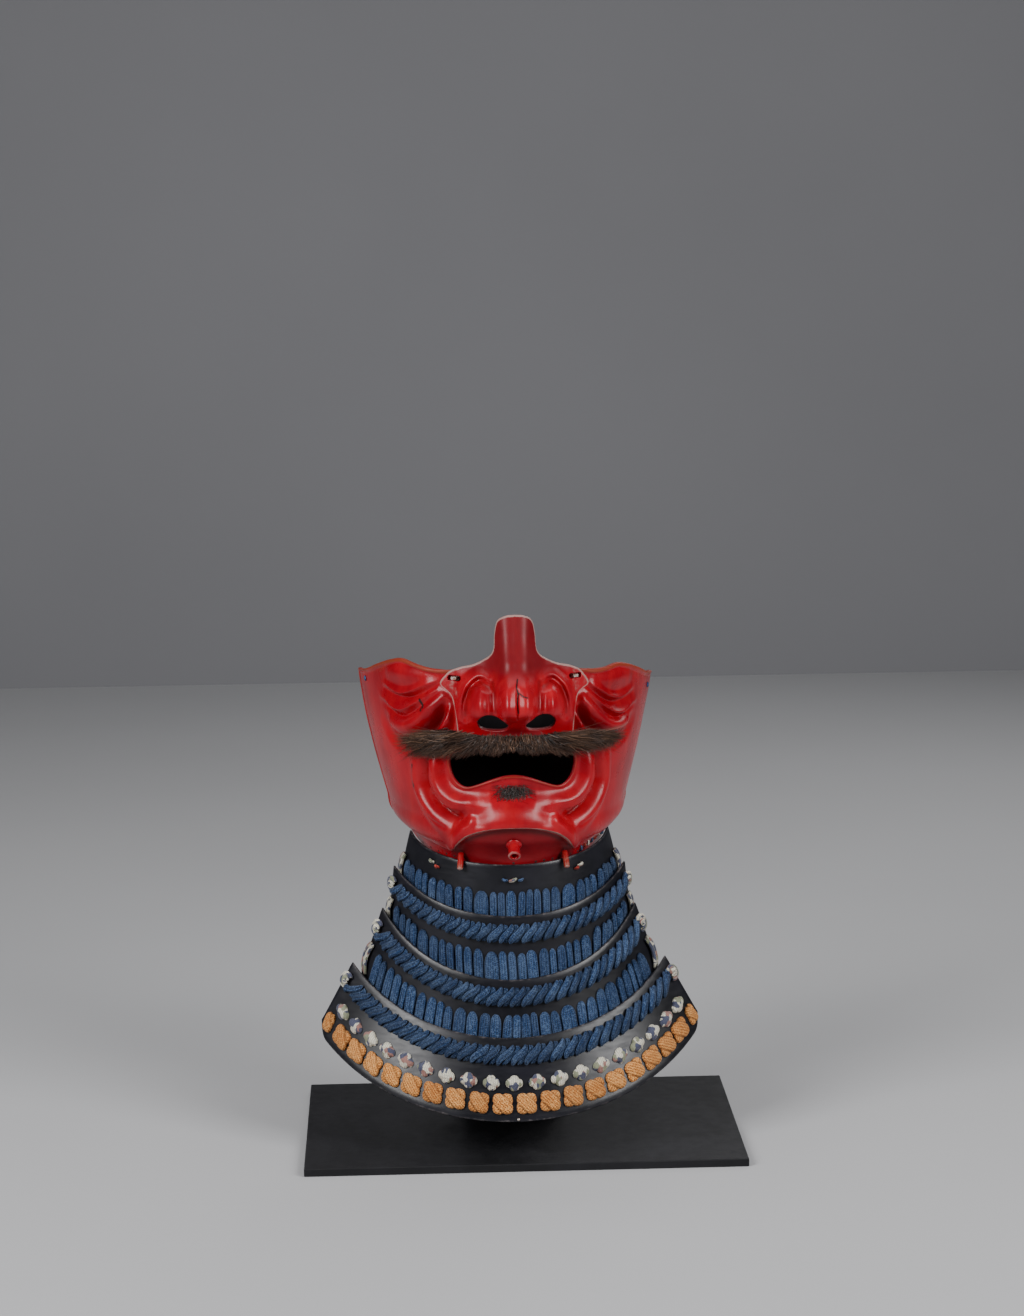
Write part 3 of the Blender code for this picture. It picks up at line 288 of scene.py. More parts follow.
# Folds of the face plate, mm: half width of the fold, 1 for a sharp ridge and 2 for a round one,
# then its line as x, z and height, a groove having a height below zero
FACE_FOLDS = {
    "eye_ridge": (4.0, 1, ((73, 267.5, 0.5), (67.5, 265.4, 2.0), (63.8, 264.6, 2.4), (60.8, 265.3, 2.4),
                           (56.3, 267.7, 2.2), (52.1, 270.4, 1.8), (43, 276, 0.6))),
    "eye_groove": (3.2, 1, ((73, 265, -0.6), (66, 262.6, -1.6), (60.5, 262.4, -1.9), (54, 265.2, -1.8),
                            (42.5, 274, -0.8))),
    "cheek_ridge": (4.6, 1, ((75, 259.5, 0.6), (69.7, 256.7, 2.2), (65.6, 255.5, 3.0), (61, 256.1, 3.2),
                             (56.9, 258.9, 3.0), (52.8, 262, 2.6), (47.8, 266.8, 1.8), (41.3, 272.8, 0.6))),
    "cheek_groove": (3.6, 1, ((73, 256.6, -1.0), (65.5, 251.8, -2.2), (61, 252, -2.6), (56.6, 255, -2.4),
                              (52, 259, -2.0), (43.6, 267.6, -1.2), (40, 272, -0.4))),
    "cheek_roll": (9.0, 2, ((68, 247, 2.0), (62, 247.2, 4.0), (56, 249, 5.0),
                            (49, 255.6, 5.2), (43, 263, 4.0), (37.5, 268.5, 1.8))),
    "cheek_hollow": (8.0, 2, ((72.5, 246, -1.0), (68.4, 239.6, -2.2), (61, 236.6, -2.2))),
    "nose_valley": (5.0, 2, ((52, 240.5, -1.6), (47, 246.4, -3.6), (42.6, 251.8, -4.2),
                             (39.6, 258, -3.6), (36.6, 264.5, -1.6))),
    "nose_fold": (6.0, 2, ((43, 243.5, 2.4), (39, 250, 3.8), (35.6, 257, 3.4), (34, 265, 1.4))),
    "lid_pad": (9.0, 2, ((69, 276, 1.2), (60, 276.4, 2.6), (50, 276.2, 1.2))),
    "mouth_roll": (8.0, 2, ((44, 236, 2.4), (43.6, 228, 4.6), (42.4, 218.5, 5.2), (38.2, 211.4, 5.4),
                            (32.4, 207.6, 5.0), (25, 206.8, 3.8), (14, 209, 1.6))),
    "mouth_ridge": (2.8, 1, ((46.4, 231, 0.8), (46.4, 222, 1.5), (44.8, 214.5, 1.7), (41.6, 208.6, 1.7),
                             (36.6, 204.8, 1.4), (28, 203.2, 0.6))),
    "mouth_groove": (4.8, 1, ((50, 238, -1.4), (48.8, 228, -3.4), (47.8, 212.5, -4.0), (42, 204, -4.0),
                              (34.5, 199, -3.6), (27, 197.4, -2.0))),
    "jowl_roll": (8.5, 2, ((55, 238, 1.4), (54.6, 226, 3.2), (53.4, 213, 4.0), (49, 203.4, 4.2),
                           (42.4, 196, 3.6), (35.8, 191, 2.0))),
    "jowl_step": (2.2, 1, ((56.6, 223, -0.6), (56.2, 213.5, -1.2), (53.6, 206, -1.4), (50.6, 200.4, -1.4),
                           (44.6, 195.4, -1.2), (38, 191.6, -0.8))),
    "chin_side": (5.0, 2, ((34.2, 181, 1.4), (29.4, 190, 2.2), (23.4, 197.6, 1.8))),
    "chin_pad": (13.0, 2, ((0, 204.5, 2.4), (9, 205.2, 2.0))),
    "lip_groove": (6.5, 2, ((0, 214.8, -1.6), (12, 213.4, -1.2), (19, 211.4, -0.4))),
}

# Small forms of the nose plate, in the same way
NOSE_FOLDS = {
    "tip_bulge": (5.8, 2, ((5.6, 284, 0.3), (5.8, 279, 1.8), (5.9, 272, 2.9), (5.9, 266, 2.9),
                           (5.8, 261, 1.5))),
    "bridge_dip": (7.0, 2, ((0, 285.5, -2.0), (6, 285.0, -1.8), (11, 284.0, -0.8))),
    "centre_groove": (1.5, 1, ((0, 281, -0.3), (0, 275, -1.2), (0, 267, -1.6), (0, 261, -1.0))),
    "wing_groove": (4.0, 2, ((13.6, 282.6, -1.0), (12.4, 276, -3.0), (11.8, 268.5, -3.8), (11.6, 261, -2.8))),
    "wing": (8.0, 2, ((20.0, 274, 4.0), (20.4, 269, 5.4), (20.2, 263, 4.4))),
    "wing_arch": (4.0, 2, ((31.4, 257.0, 1.2), (31.2, 268.0, 2.2), (27.2, 278.0, 2.8), (20.0, 283.6, 2.6),
                           (15.0, 282.0, 1.6))),
    "wing_hollow": (3.8, 2, ((28.4, 258.0, -1.8), (27.8, 268.0, -3.6), (24.6, 275.6, -4.0),
                             (19.6, 279.2, -4.0), (15.4, 277.4, -2.6))),
}

# Lines along the nose plate's grooves that are painted in shade, mm in the front view
SHADED_NOSE_GROOVES = (
    ((12.8, 280), (12.2, 273), (11.8, 264)),
    ((28.2, 260), (27.6, 268), (24.4, 275.4), (19.4, 278.8), (15.0, 277.0)),
)

# Cracks in the lacquer, mm in the front view
CRACKS = (
    ((-55.6, 226), (-56.4, 221), (-55.8, 217), (-54.2, 214), (-54.6, 210), (-53.0, 206.5)),
    ((-51.5, 263.5), (-50.6, 259.8), (-49.4, 257.6)),
    ((-50.6, 259.8), (-48.8, 259.4)),
)
NOSE_CRACKS = (
    ((0.4, 283), (-0.3, 279), (0.5, 275.5), (0.0, 271), (0.4, 265)),
    ((0.5, 276.5), (3.0, 274.6), (5.6, 273.8)),
)

# Lames, mm and degrees: height at the middle, rise at the ends, radius, half angle and front,
# each for the top edge and the bottom edge, then the shift to the side
LAMES = (
    (169.3, 134.0, 11.0, 16.0, 60.0, 70.6, 80.0, 68.0, -35.5, -37.0, -0.6),
    (140.1, 98.0, 22.0, 28.0, 77.6, 81.8, 62.0, 62.0, -41.4, -45.8, -1.2),
    (104.4, 66.0, 34.0, 33.0, 86.6, 104.6, 60.0, 57.4, -49.9, -56.8, -2.0),
    (72.9, 29.0, 33.8, 39.5, 110.6, 134.5, 57.0, 58.0, -60.6, -77.3, -2.4),
)

# Upright cords: lame, count, share of the lame's height at the top and the bottom of the cords
UPRIGHT_ROWS = (
    (0, 26, 0.415, 0.935),
    (1, 28, 0.48, 0.945),
    (2, 30, 0.50, 0.935),
)
# Twisted cords: lame, count, share of the lame's height at the top and the bottom of the row
TWISTED_ROWS = (
    (1, 26, 0.075, 0.375),
    (2, 28, 0.075, 0.405),
    (3, 30, 0.065, 0.345),
)
ROW_END = 0.93

# Knots: count, share of the lame's height, knot width, knot height, share of the end knots,
# middle of the end knots as a share of the lame's half angle
MULTICOLOUR_ROW = (19, 0.545, 0.0106, 0.0092, 1.0, 0.915)
ORANGE_ROW = (20, 0.795, 0.0122, 0.0120, 0.55, 0.955)

# Moustache sections, mm: x, top, bottom, depth, distance from the face
MOUSTACHE_ROWS = (
    (-70, 233.5, 231.5, 1.0, 9.0),
    (-63, 241.0, 232.0, 2.6, 6.5),
    (-55, 246.0, 233.5, 4.0, 4.0),
    (-46, 249.0, 234.5, 5.2, 1.8),
    (-37, 250.4, 235.2, 6.4, 0.6),
    (-28, 251.0, 240.6, 7.4, 0.5),
    (-19, 251.0, 241.4, 8.0, 0.5),
    (-10, 251.0, 239.4, 8.2, 0.5),
    (0, 251.0, 240.2, 8.2, 0.5),
    (10, 251.0, 239.4, 8.2, 0.5),
    (19, 250.8, 242.0, 8.0, 0.5),
    (28, 250.2, 240.6, 7.4, 0.5),
    (37, 249.4, 236.0, 6.4, 0.6),
    (46, 248.0, 232.6, 5.2, 1.8),
    (55, 246.2, 235.0, 4.0, 4.0),
    (64, 244.0, 237.6, 2.6, 6.5),
    (72, 240.4, 238.8, 1.0, 9.0),
)
TUFT_WIDTH = 0.0165
TUFT_HEIGHT = 0.0095
TUFT_DEPTH = 0.0028
TUFT_Z = 0.2135

# Hair
CLUMPS = 560
CLUMP_HAIRS = (14, 26)
STRAY_HAIRS = 150
TUFT_HAIRS = 620
LEFT_FAN = 36
RIGHT_FAN = 20
MOUSTACHE_REACH = 0.0715

# Half width of the nose plate over the moustache, by height
WING_Z = (0.2452, 0.251, 0.257)
WING_X = (0.0318, 0.0324, 0.033)

# Holes along the mask's bottom flange, each drawn as a dark disc of painted shade
FLANGE_HOLES_X = (-0.052, -0.0475, -0.043, -0.0385, -0.034, 0.0, 0.013, 0.018, 0.023, 0.034, 0.0385)

# Ties on the first lame: share of its half angle, share of its height, colour, length
LAME_TIES = (
    (-0.62, 0.150, "flecked", 0.0036),
    (-0.565, 0.200, "red", 0.0026),
    (0.475, 0.205, "red", 0.0024),
    (0.51, 0.170, "flecked", 0.0034),
    (-0.055, 0.235, "blue", 0.0026),
    (0.0, 0.235, "flecked", 0.0042),
    (0.055, 0.235, "blue", 0.0026),
)
FLANGE_TIES = 7

# Studs at a lame's lower edge: lame, share of its height, share of its half angle
LAME_STUDS = ((2, 0.975, 0.01), (3, 0.985, 0.015))

# Stage
LIGHT_TARGET = (0.0, 0.0, 0.17)

# Camera
CAMERA_PLACE = (-0.064, -1.794, 0.579)
CAMERA_YAW = 2.1
CAMERA_PITCH = 9.28
CAMERA_ROLL = -0.69
CAMERA_LENS = 85.0


# Curves and the mask's base form

def hermite_piece(t, step, start, end, start_slope, end_slope):
    """One piece of a smooth curve, t running from 0 to 1 over a step."""
    first = (2 * t**3 - 3 * t**2 + 1) * start + (t**3 - 2 * t**2 + t) * step * start_slope
    last = (3 * t**2 - 2 * t**3) * end + (t**3 - t**2) * step * end_slope
    return first + last


def hermite(value, xs, ys):
    """A smooth curve through the points xs, ys, read at value."""
    xs = np.asarray(xs, float)
    ys = np.asarray(ys, float)
    slopes = np.gradient(ys, xs)
    i = np.clip(np.searchsorted(xs, value) - 1, 0, len(xs) - 2)
    step = xs[i + 1] - xs[i]
    t = np.clip((value - xs[i]) / step, 0.0, 1.0)
    return hermite_piece(t, step, ys[i], ys[i + 1], slopes[i], slopes[i + 1])


def smoothstep(value, low, high):
    """0 up to low and 1 from high, with a soft start and end between them."""
    t = np.clip((value - low) / (high - low), 0.0, 1.0)
    return t * t * (3 - 2 * t)


def faded(distance, name):
    """1 up to the first distance of a fade and 0 from the second."""
    return 1 - smoothstep(distance, *FADES[name])


def grown(value, name):
    """0 up to the first value of a growth and 1 from the second."""
    return smoothstep(value, *GROWTHS[name])


def unit(vectors):
    return vectors / np.maximum(np.linalg.norm(vectors, axis=-1, keepdims=True), 1e-12)


def lengths_along(points):
    """Length of a line from its first point to each of its points."""
    return np.concatenate([[0], np.cumsum(np.linalg.norm(np.diff(points, axis=0), axis=1))])


def base_point(angle, z):
    """A point of the mask's base form, angle 0 at the middle and 90 degrees at the rear edge."""
    rows = np.array(FACE_ROWS) * MM
    half, rear, front = (hermite(z, rows[:, 0], rows[:, k]) for k in (1, 2, 3))
    y = rear - (rear - front) * np.cos(angle)
    return np.stack([half * np.sin(angle), y, z + 0 * angle], -1)


def base_angle(x, z):
    """The angle of the point that shows at x in the front view."""
    rows = np.array(FACE_ROWS) * MM
    return np.arcsin(np.clip(x / hermite(z, rows[:, 0], rows[:, 1]), -1.0, 1.0))


def base_normal(angle, z):
    step = 1e-4
    across = base_point(angle + step, z) - base_point(angle - step, z)
    up = base_point(angle, z + step) - base_point(angle, z - step)
    return unit(np.cross(across, up))


def fold_height(points, line, half_width, roundness, heights):
    """Height of one fold at each point, from the distance to its line on the base form."""
    best = np.full(len(points), FAR)
    height = np.zeros(len(points))
    for k in range(len(line) - 1):
        start = line[k]
        run = line[k + 1] - start
        t = np.clip((points - start) @ run / (run @ run), 0.0, 1.0)
        distance = np.linalg.norm(points - start - t[:, None] * run, axis=1)
        nearer = distance < best
        best[nearer] = distance[nearer]
        height[nearer] = (heights[k] + (heights[k + 1] - heights[k]) * t)[nearer]
    reach = np.clip(1.0 - best / half_width, 0.0, 1.0)
    if roundness == 1:
        return height * reach**1.6
    return height * np.sin(reach * math.pi / 2) ** 2


def round_line(points):
    """The same line with its bends rounded, so that a fold along it has no corners."""
    points = np.array(points, float)
    length = lengths_along(points[:, :2])
    places = np.linspace(0, length[-1], 4 * (len(points) - 1) + 1)
    return np.stack([hermite(places, length, points[:, k]) for k in range(3)], -1)


def folds(points, table):
    """Sum of all folds of a table at points whose x is already made positive."""
    total = np.zeros(len(points))
    for half_width, roundness, line in table.values():
        line = round_line(line) * MM
        on_base = base_point(base_angle(line[:, 0], line[:, 1]), line[:, 1])
        total += fold_height(points, on_base, half_width * MM, roundness, line[:, 2])
    return total


def line_distance(x, z, lines):
    """Distance in the front view to the nearest of some lines given in mm."""
    best = np.full(x.shape, FAR)
    for line in lines:
        line = np.array(line, float) * MM
        for start, end in zip(line[:-1], line[1:]):
            run = end - start
            t = np.clip(((x - start[0]) * run[0] + (z - start[1]) * run[1]) / (run @ run), 0, 1)
            best = np.minimum(best, np.hypot(x - start[0] - t * run[0], z - start[1] - t * run[1]))
    return best


def ledge_line(x):
    """Height of the chin's ledge, and of the jaw's lower edge beside it."""
    inside = np.clip(x / CHIN_HALF_WIDTH, 0.0, 1.0)
    arc = CHIN_TOP_Z - CHIN_DROP * (1 - np.sqrt(1 - inside**2))
    return np.where(x < CHIN_HALF_WIDTH, arc, np.interp(x, JAW_X, JAW_Z))


def clear_of_nose(x, z):
    """0 under the nose plate, rising to 1 a few millimetres outside it."""
    outline = np.array(NOSE_RAYS)[:NOSE_TOP_RAY + 1, 2:4]
    best = np.full(x.shape, FAR)
    inside = np.zeros(x.shape, bool)
    for side in (1.0, -1.0):
        px = side * (x - NOSE_SHIFT)
        best = np.minimum(best, line_distance(px, z, [outline]))
        for (ax, az), (bx, bz) in zip(outline[:-1] * MM, outline[1:] * MM):
            if az != bz:
                crosses = (np.minimum(az, bz) <= z) & (z < np.maximum(az, bz))
                cut = ax + (z - az) * (bx - ax) / (bz - az)
                inside ^= crosses & (px >= 0) & (px < cut)
    return np.where(inside, 0.0, smoothstep(best, NOSE_MARGIN, NOSE_MARGIN + NOSE_FADE))


def face_relief(angle, z):
    """Height of the face plate's outer side over its base form."""
    shape = np.shape(angle)
    angle = np.ravel(angle)
    z = np.ravel(z)
    x = base_point(angle, z)[:, 0]
    wide = np.abs(x)
    height = folds(base_point(np.abs(angle), z), FACE_FOLDS)
    above = (z - ledge_line(wide)) * np.clip(1.15 - 9 * wide, 0.72, 1.0)
    depth = LEDGE_DEPTH * np.interp(wide, LEDGE_X, LEDGE_SHARES)
    height += depth * smoothstep(above, -0.0008, 0.0006) * (1 - smoothstep(above, 0.0006, 0.017))
    return (height * clear_of_nose(x, z)).reshape(shape)


def tilt(points):
    """The left cheek's top sits a little higher than the right one's."""
    x = points[..., 0]
    z = points[..., 2]
    share = smoothstep(np.abs(x), 0.034, 0.062) * smoothstep(z, 0.238, 0.262)
    moved = points.copy()
    moved[..., 2] = z - np.sign(x) * CHEEK_TILT * share
    return moved


def face_point(angle, z):
    """A point of the face plate's outer side."""
    return tilt(base_point(angle, z) + base_normal(angle, z) * face_relief(angle, z)[..., None])


def smooth_rays(points, corners, steps):
    """A smooth line through the rays' ends, steps to each interval, sharp at the corners.

    The line runs on over the plane of symmetry as its own mirror image.
    """
    mirror = np.array([-1.0, 1.0])
    points = np.concatenate([points[1:2] * mirror, points, points[-2:-1] * mirror])
    breaks = [0] + [c + 1 for c in corners] + [len(points) - 1]
    length = np.concatenate([[0], np.cumsum(np.hypot(*np.diff(points, axis=0).T) ** 0.7 + 1e-6)])
    ids = np.arange((len(points) - 3) * steps + 1) / steps + 1
    place = np.interp(ids, np.arange(len(points)), length)
    result = np.zeros((len(place), 2))
    for a, b in zip(breaks[:-1], breaks[1:]):
        inside = (place >= length[a] - 1e-9) & (place <= length[b] + 1e-9)
        for k in range(2):
            result[inside, k] = hermite(place[inside], length[a:b + 1], points[a:b + 1, k])
    return result


# Meshes

class Shape:
    """Points, faces and values of one piece, gathered part by part."""

    def __init__(self):
        self.points = []
        self.faces = []
        self.values = {}
        self.count = 0

    def add(self, points, faces, **values):
        """Adds a part. The value named weave has three numbers at a point, any other has one."""
        points = np.reshape(points, (-1, 3))
        faces = faces.tolist() if isinstance(faces, np.ndarray) else faces
        self.points.append(points)
        self.faces += [[v + self.count for v in face] for face in faces]
        for name, value in values.items():
            width = 3 if name == "weave" else 1
            whole = np.broadcast_to(np.reshape(value, (-1, width)), (len(points), width))
            self.values.setdefault(name, []).append(whole)
        self.count += len(points)


def weave_at(across, along, seed):
    """The weave's values: place across and along a cord in mm, and a number of the cord's own."""
    return np.stack(np.broadcast_arrays(across, along, seed), -1)


def quads(rows, columns, wrap_rows=False, wrap_columns=False):
    i, j = np.meshgrid(np.arange(rows if wrap_rows else rows - 1),
                       np.arange(columns if wrap_columns else columns - 1), indexing="ij")
    n = (i + 1) % rows
    m = (j + 1) % columns
    return np.stack([i * columns + j, n * columns + j, n * columns + m, i * columns + m], -1).reshape(-1, 4)


def tube_faces(sections, sides):
    """Faces of a closed body through sections of the same number of points."""
    faces = quads(sections, sides, wrap_columns=True).tolist()
    last = (sections - 1) * sides
    faces.append(list(range(sides)))
    faces.append(list(range(last + sides - 1, last - 1, -1)))
    return faces


def circle(sides, across, other):
    """Spokes of a circle in the plane of two directions."""
    turns = 2 * math.pi * np.arange(sides) / sides
    return np.cos(turns)[:, None] * across + np.sin(turns)[:, None] * other


def tube(path, radii, sides, across):
    """Rings of a round tube along a path, its first spoke near the direction across."""
    side = np.asarray(across, float)
    rings = []
    for point, ahead, radius in zip(path, unit(np.gradient(path, axis=0)), radii):
        side = unit(side - ahead * (side @ ahead))
        rings.append(point + radius * circle(sides, side, np.cross(ahead, side)))
    return np.array(rings)


def turned(start, axis, profile, sides):
    """Rings of a turned body: profile rows begin with distance along the axis and radius."""
    across = unit(np.cross(axis, [1.0, 0.0, 0.0]))
    spokes = circle(sides, across, np.cross(axis, across))
    return np.array([start + axis * row[0] + spokes * row[1] for row in profile])


def rim_rings(outer, inner, outward):
    """Rings that round the edge between the last outer and the last inner ring of a wall."""
    centre = (outer + inner) / 2
    radius = np.linalg.norm(outer - inner, axis=-1, keepdims=True) / 2
    turns = [math.pi * (k + 1) / (RIM_RINGS + 1) for k in range(RIM_RINGS)]
    return [centre + (outer - centre) * math.cos(t) + outward * radius * math.sin(t) * 0.8 for t in turns]


def wall_values(marks, rings, columns):
    """Values of a wall's rings, from the marks of its outer side, its rim and its inside."""
    values = {}
    for name, (outside, rim, inside) in marks.items():
        count = outside.shape[1]
        value = np.full((rings, columns), float(inside))
        value[:count] = outside.T
        value[count:count + RIM_RINGS] = rim
        values[name] = value
    return values


def edge_distances(points, edge):
    """Distance of each point to the nearest point of an edge line."""
    tree = kdtree.KDTree(len(edge))
    for i, point in enumerate(edge):
        tree.insert(point, i)
    tree.balance()
    return np.array([tree.find(point)[2] for point in points.reshape(-1, 3)]).reshape(points.shape[:-1])


def add_object(name, data):
    made = bpy.data.objects.new(name, data)
    bpy.context.scene.collection.objects.link(made)
    return made


def clean_mesh(mesh):
    """Merges doubled points and turns all faces outward."""
    tool = bmesh.new()
    tool.from_mesh(mesh)
    bmesh.ops.remove_doubles(tool, verts=tool.verts, dist=1e-6)
    bmesh.ops.recalc_face_normals(tool, faces=tool.faces)
    tool.to_mesh(mesh)
    tool.free()


def make_piece(name, shape, material, replaced=(), sharp=None):
    """The mesh object of a shape, riding on the assembly and standing for its CAD nodes."""
    mesh = bpy.data.meshes.new(name)
    mesh.from_pydata(np.concatenate(shape.points).tolist(), [], shape.faces)
    for label, parts in shape.values.items():
        value = np.concatenate(parts)
        kind, key = ("FLOAT_VECTOR", "vector") if value.shape[1] == 3 else ("FLOAT", "value")
        attribute = mesh.attributes.new(label, kind, "POINT")
        attribute.data.foreach_set(key, value.astype(np.float32).ravel())
    clean_mesh(mesh)
    mesh.shade_smooth()
    if sharp is not None:
        mesh.set_sharp_from_angle(angle=math.radians(sharp))
    mesh.materials.append(material)
    made = add_object(name, mesh)
    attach(made, "root")
    if replaced:
        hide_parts(*replaced)
    return made


# Node trees

class Nodes:
    """A short way to write a material's node tree."""

    def __init__(self, name):
        self.material = bpy.data.materials.new(name)
        self.material.use_nodes = True
        self.tree = self.material.node_tree
        self.shader = self.tree.nodes["Principled BSDF"]

    def feed(self, socket, value):
        if isinstance(value, bpy.types.NodeSocket):
            self.tree.links.new(value, socket)
        elif socket.type == "RGBA":
            socket.default_value = (*value, 1.0)
        else:
            socket.default_value = value

    def node(self, kind, **inputs):
        """A new node with its inputs set by name, _ standing for a space."""
        node = self.tree.nodes.new("ShaderNode" + kind)
        for name, value in inputs.items():
            self.feed(node.inputs[name.replace("_", " ")], value)
        return node

    def set(self, **values):
        """Sets inputs of the shader by name."""
        for name, value in values.items():
            self.feed(self.shader.inputs[name.replace("_", " ").title().replace("Ior", "IOR")], value)

    def value(self, name):
        node = self.node("Attribute")
        node.attribute_name = name
        return node.outputs["Vector"] if name == "weave" else node.outputs["Fac"]

    def place(self, scale=(1.0, 1.0, 1.0), source=None):
        if source is None:
            source = self.node("TexCoord").outputs["Object"]
        return self.node("Mapping", Scale=scale, Vector=source).outputs["Vector"]

    def noise(self, scale, detail=3.0, roughness=0.5, vector=None, distortion=0.0):
        vector = self.place() if vector is None else vector
        return self.node("TexNoise", Scale=scale, Detail=detail, Roughness=roughness,
                         Distortion=distortion, Vector=vector).outputs["Fac"]

    def cells(self, scale, vector=None, distance="EUCLIDEAN", randomness=1.0):
        vector = self.place() if vector is None else vector
        node = self.node("TexVoronoi", Scale=scale, Randomness=randomness, Vector=vector)
        node.distance = distance
        return node.outputs

    def math(self, operation, first, second=0.0):
        node = self.node("Math")
        node.operation = operation
        self.feed(node.inputs[0], first)
        self.feed(node.inputs[1], second)
        return node.outputs[0]

    def times(self, first, second):
        return self.math("MULTIPLY", first, second)

    def plus(self, first, second):
        return self.math("ADD", first, second)

    def ramp(self, value, low, high, start=0.0, end=1.0):
        node = self.node("MapRange", Value=value, From_Min=low, From_Max=high, To_Min=start, To_Max=end)
        node.interpolation_type = "SMOOTHSTEP"
        return node.outputs["Result"]

    def marked(self, name, patches, share, low, high):
        """A mark of the mesh, broken up by patches of noise."""
        return self.ramp(self.plus(self.value(name), self.times(patches, share)), low, high)

    def mix(self, share, first, second):
        node = self.node("Mix")
        node.data_type = "RGBA"
        self.feed(node.inputs["Factor"], share)
        for index, colour in ((6, first), (7, second)):
            self.feed(node.inputs[index], colour)
        return node.outputs[2]

    def coat(self, colour, paint, mask, share):
        """A colour with paint over it, as far as the mask and the share say."""
        return self.mix(self.times(mask, share), colour, paint)

    def split(self, vector):
        return self.node("SeparateXYZ", Vector=vector).outputs

    def bump(self, height, distance, strength=1.0, normal=None):
        node = self.node("Bump", Strength=strength, Distance=distance, Height=height)
        if normal is not None:
            self.feed(node.inputs["Normal"], normal)
        return node.outputs["Normal"]


# Materials

def lacquer_red():
    """Old vermilion lacquer: brighter and darker reds, painted shade in the grooves, under the chin and over
    the bridge, brown wear at the rims, and pale patches painted partly as highlights.
    """
    n = Nodes("red_lacquer_finish")
    broad = n.ramp(n.noise(28.0, 4.0, 0.6), 0.35, 0.68)
    streaks = n.ramp(n.noise(60.0, 5.0, 0.65, n.place((2.2, 2.2, 0.35))), 0.40, 0.72)
    # Painted shade: darker red in the grooves, round and inside the nostrils, and in a strip under the chin's
    # ledge
    hollow = n.ramp(n.value("hollow"), 0.10, 1.0)
    patches = n.noise(210.0, 5.0, 0.7)
    rubbed_and_sheen = n.marked("worn", patches, 0.9, 0.92, 1.36)
    # Pale patches: wear on the ledge's crest, the mouth's edge and the nose's rim, painted partly as
    # highlight; on the nose's tabs a painted reflection
    bare = n.marked("bare", patches, 0.8, 0.95, 1.30)
    specks = n.ramp(n.cells(620.0)["Distance"], 0.035, 0.085, 1.0, 0.0)
    specks = n.times(specks, n.ramp(n.noise(90.0, 2.0), 0.54, 0.62))
    crack = n.ramp(n.value("crack"), 0.78, 0.96)
    colour = n.mix(broad, (0.205, 0.0014, 0.0066), (0.320, 0.0032, 0.0105))
    colour = n.coat(colour, (0.385, 0.0100, 0.0120), streaks, 0.40)
    # Painted shade: darker red over the bridge's top, under the chin's ledge, on the rims and on the inner
    # side; the same mark also roughens the lacquer
    colour = n.coat(colour, (0.085, 0.0012, 0.0034), n.value("dull"), 0.70)
    colour = n.coat(colour, (0.070, 0.0050, 0.0055), hollow, 0.72)
    colour = n.coat(colour, (0.180, 0.034, 0.0110), rubbed_and_sheen, 0.75)
    colour = n.coat(colour, (0.33, 0.215, 0.19), bare, 0.8)
    colour = n.coat(colour, (0.05, 0.008, 0.008), specks, 0.5)
    colour = n.mix(crack, colour, (0.018, 0.006, 0.006))
    rough = n.ramp(n.noise(45.0, 5.0, 0.6), 0.3, 0.75, 0.25, 0.35)
    rough = n.plus(n.plus(rough, n.times(n.value("dull"), 0.16)), n.times(rubbed_and_sheen, 0.18))
    normal = n.bump(n.noise(900.0, 3.0, 0.6), 0.00006, 0.5)
    normal = n.bump(n.noise(130.0, 2.0, 0.5), 0.00035, 0.4, normal)
    normal = n.bump(n.math("SUBTRACT", 1.0, crack), 0.0003, 0.7, normal)
    n.set(base_color=colour, metallic=0.0, specular_ior_level=0.24, roughness=rough, normal=normal)
    return n.material


def lacquer_black():
    """Black lacquer on the lames: satin, with dust, fine scratches and paler brown edges, from wear and from
    a painted highlight along the rims.
    """
    n = Nodes("black_lacquer_finish")
    broad = n.ramp(n.noise(30.0, 4.0, 0.6), 0.3, 0.7)
    # Paler edges: wear, and a painted highlight along the rounded rims
    rubbed_and_sheen = n.marked("worn", n.noise(260.0, 5.0, 0.7), 0.9, 1.0, 1.40)
    dust = n.ramp(n.noise(520.0, 6.0, 0.8), 0.60, 0.78)
    colour = n.mix(broad, (0.0040, 0.0042, 0.0062), (0.0095, 0.0094, 0.0135))
    colour = n.mix(rubbed_and_sheen, colour, (0.130, 0.112, 0.112))
    colour = n.coat(colour, (0.07, 0.067, 0.074), dust, 0.18)
    scratches = n.noise(340.0, 4.0, 0.6, n.place((0.3, 0.3, 1.4)))
    rough = n.plus(n.ramp(scratches, 0.35, 0.75, 0.30, 0.41), n.times(dust, 0.12))
    normal = n.bump(n.noise(700.0, 3.0, 0.6), 0.00004, 0.5)
    normal = n.bump(n.noise(60.0, 3.0, 0.5), 0.0004, 0.22, normal)
    n.set(base_color=colour, metallic=0.0, specular_ior_level=0.32, roughness=rough, normal=normal)
    return n.material


def braid_relief(n, across, along, weave, stitch_length):
    """Height of slanting stitches in columns along a cord, each column slanting the other way."""
    columns = n.math("DIVIDE", across, weave)
    inside = n.math("FRACT", columns)
    odd = n.math("PINGPONG", n.math("FLOOR", columns), 1.0)
    slant = n.times(n.math("SUBTRACT", inside, 0.5), n.math("SUBTRACT", n.times(odd, 2.0), 1.0))
    stitch = n.math("FRACT", n.plus(n.math("DIVIDE", along, stitch_length), slant))
    crown = n.math("SINE", n.times(stitch, math.pi))
    valley = n.math("SINE", n.times(inside, math.pi))
    return n.times(n.math("POWER", crown, 0.7), n.math("POWER", valley, 0.6))


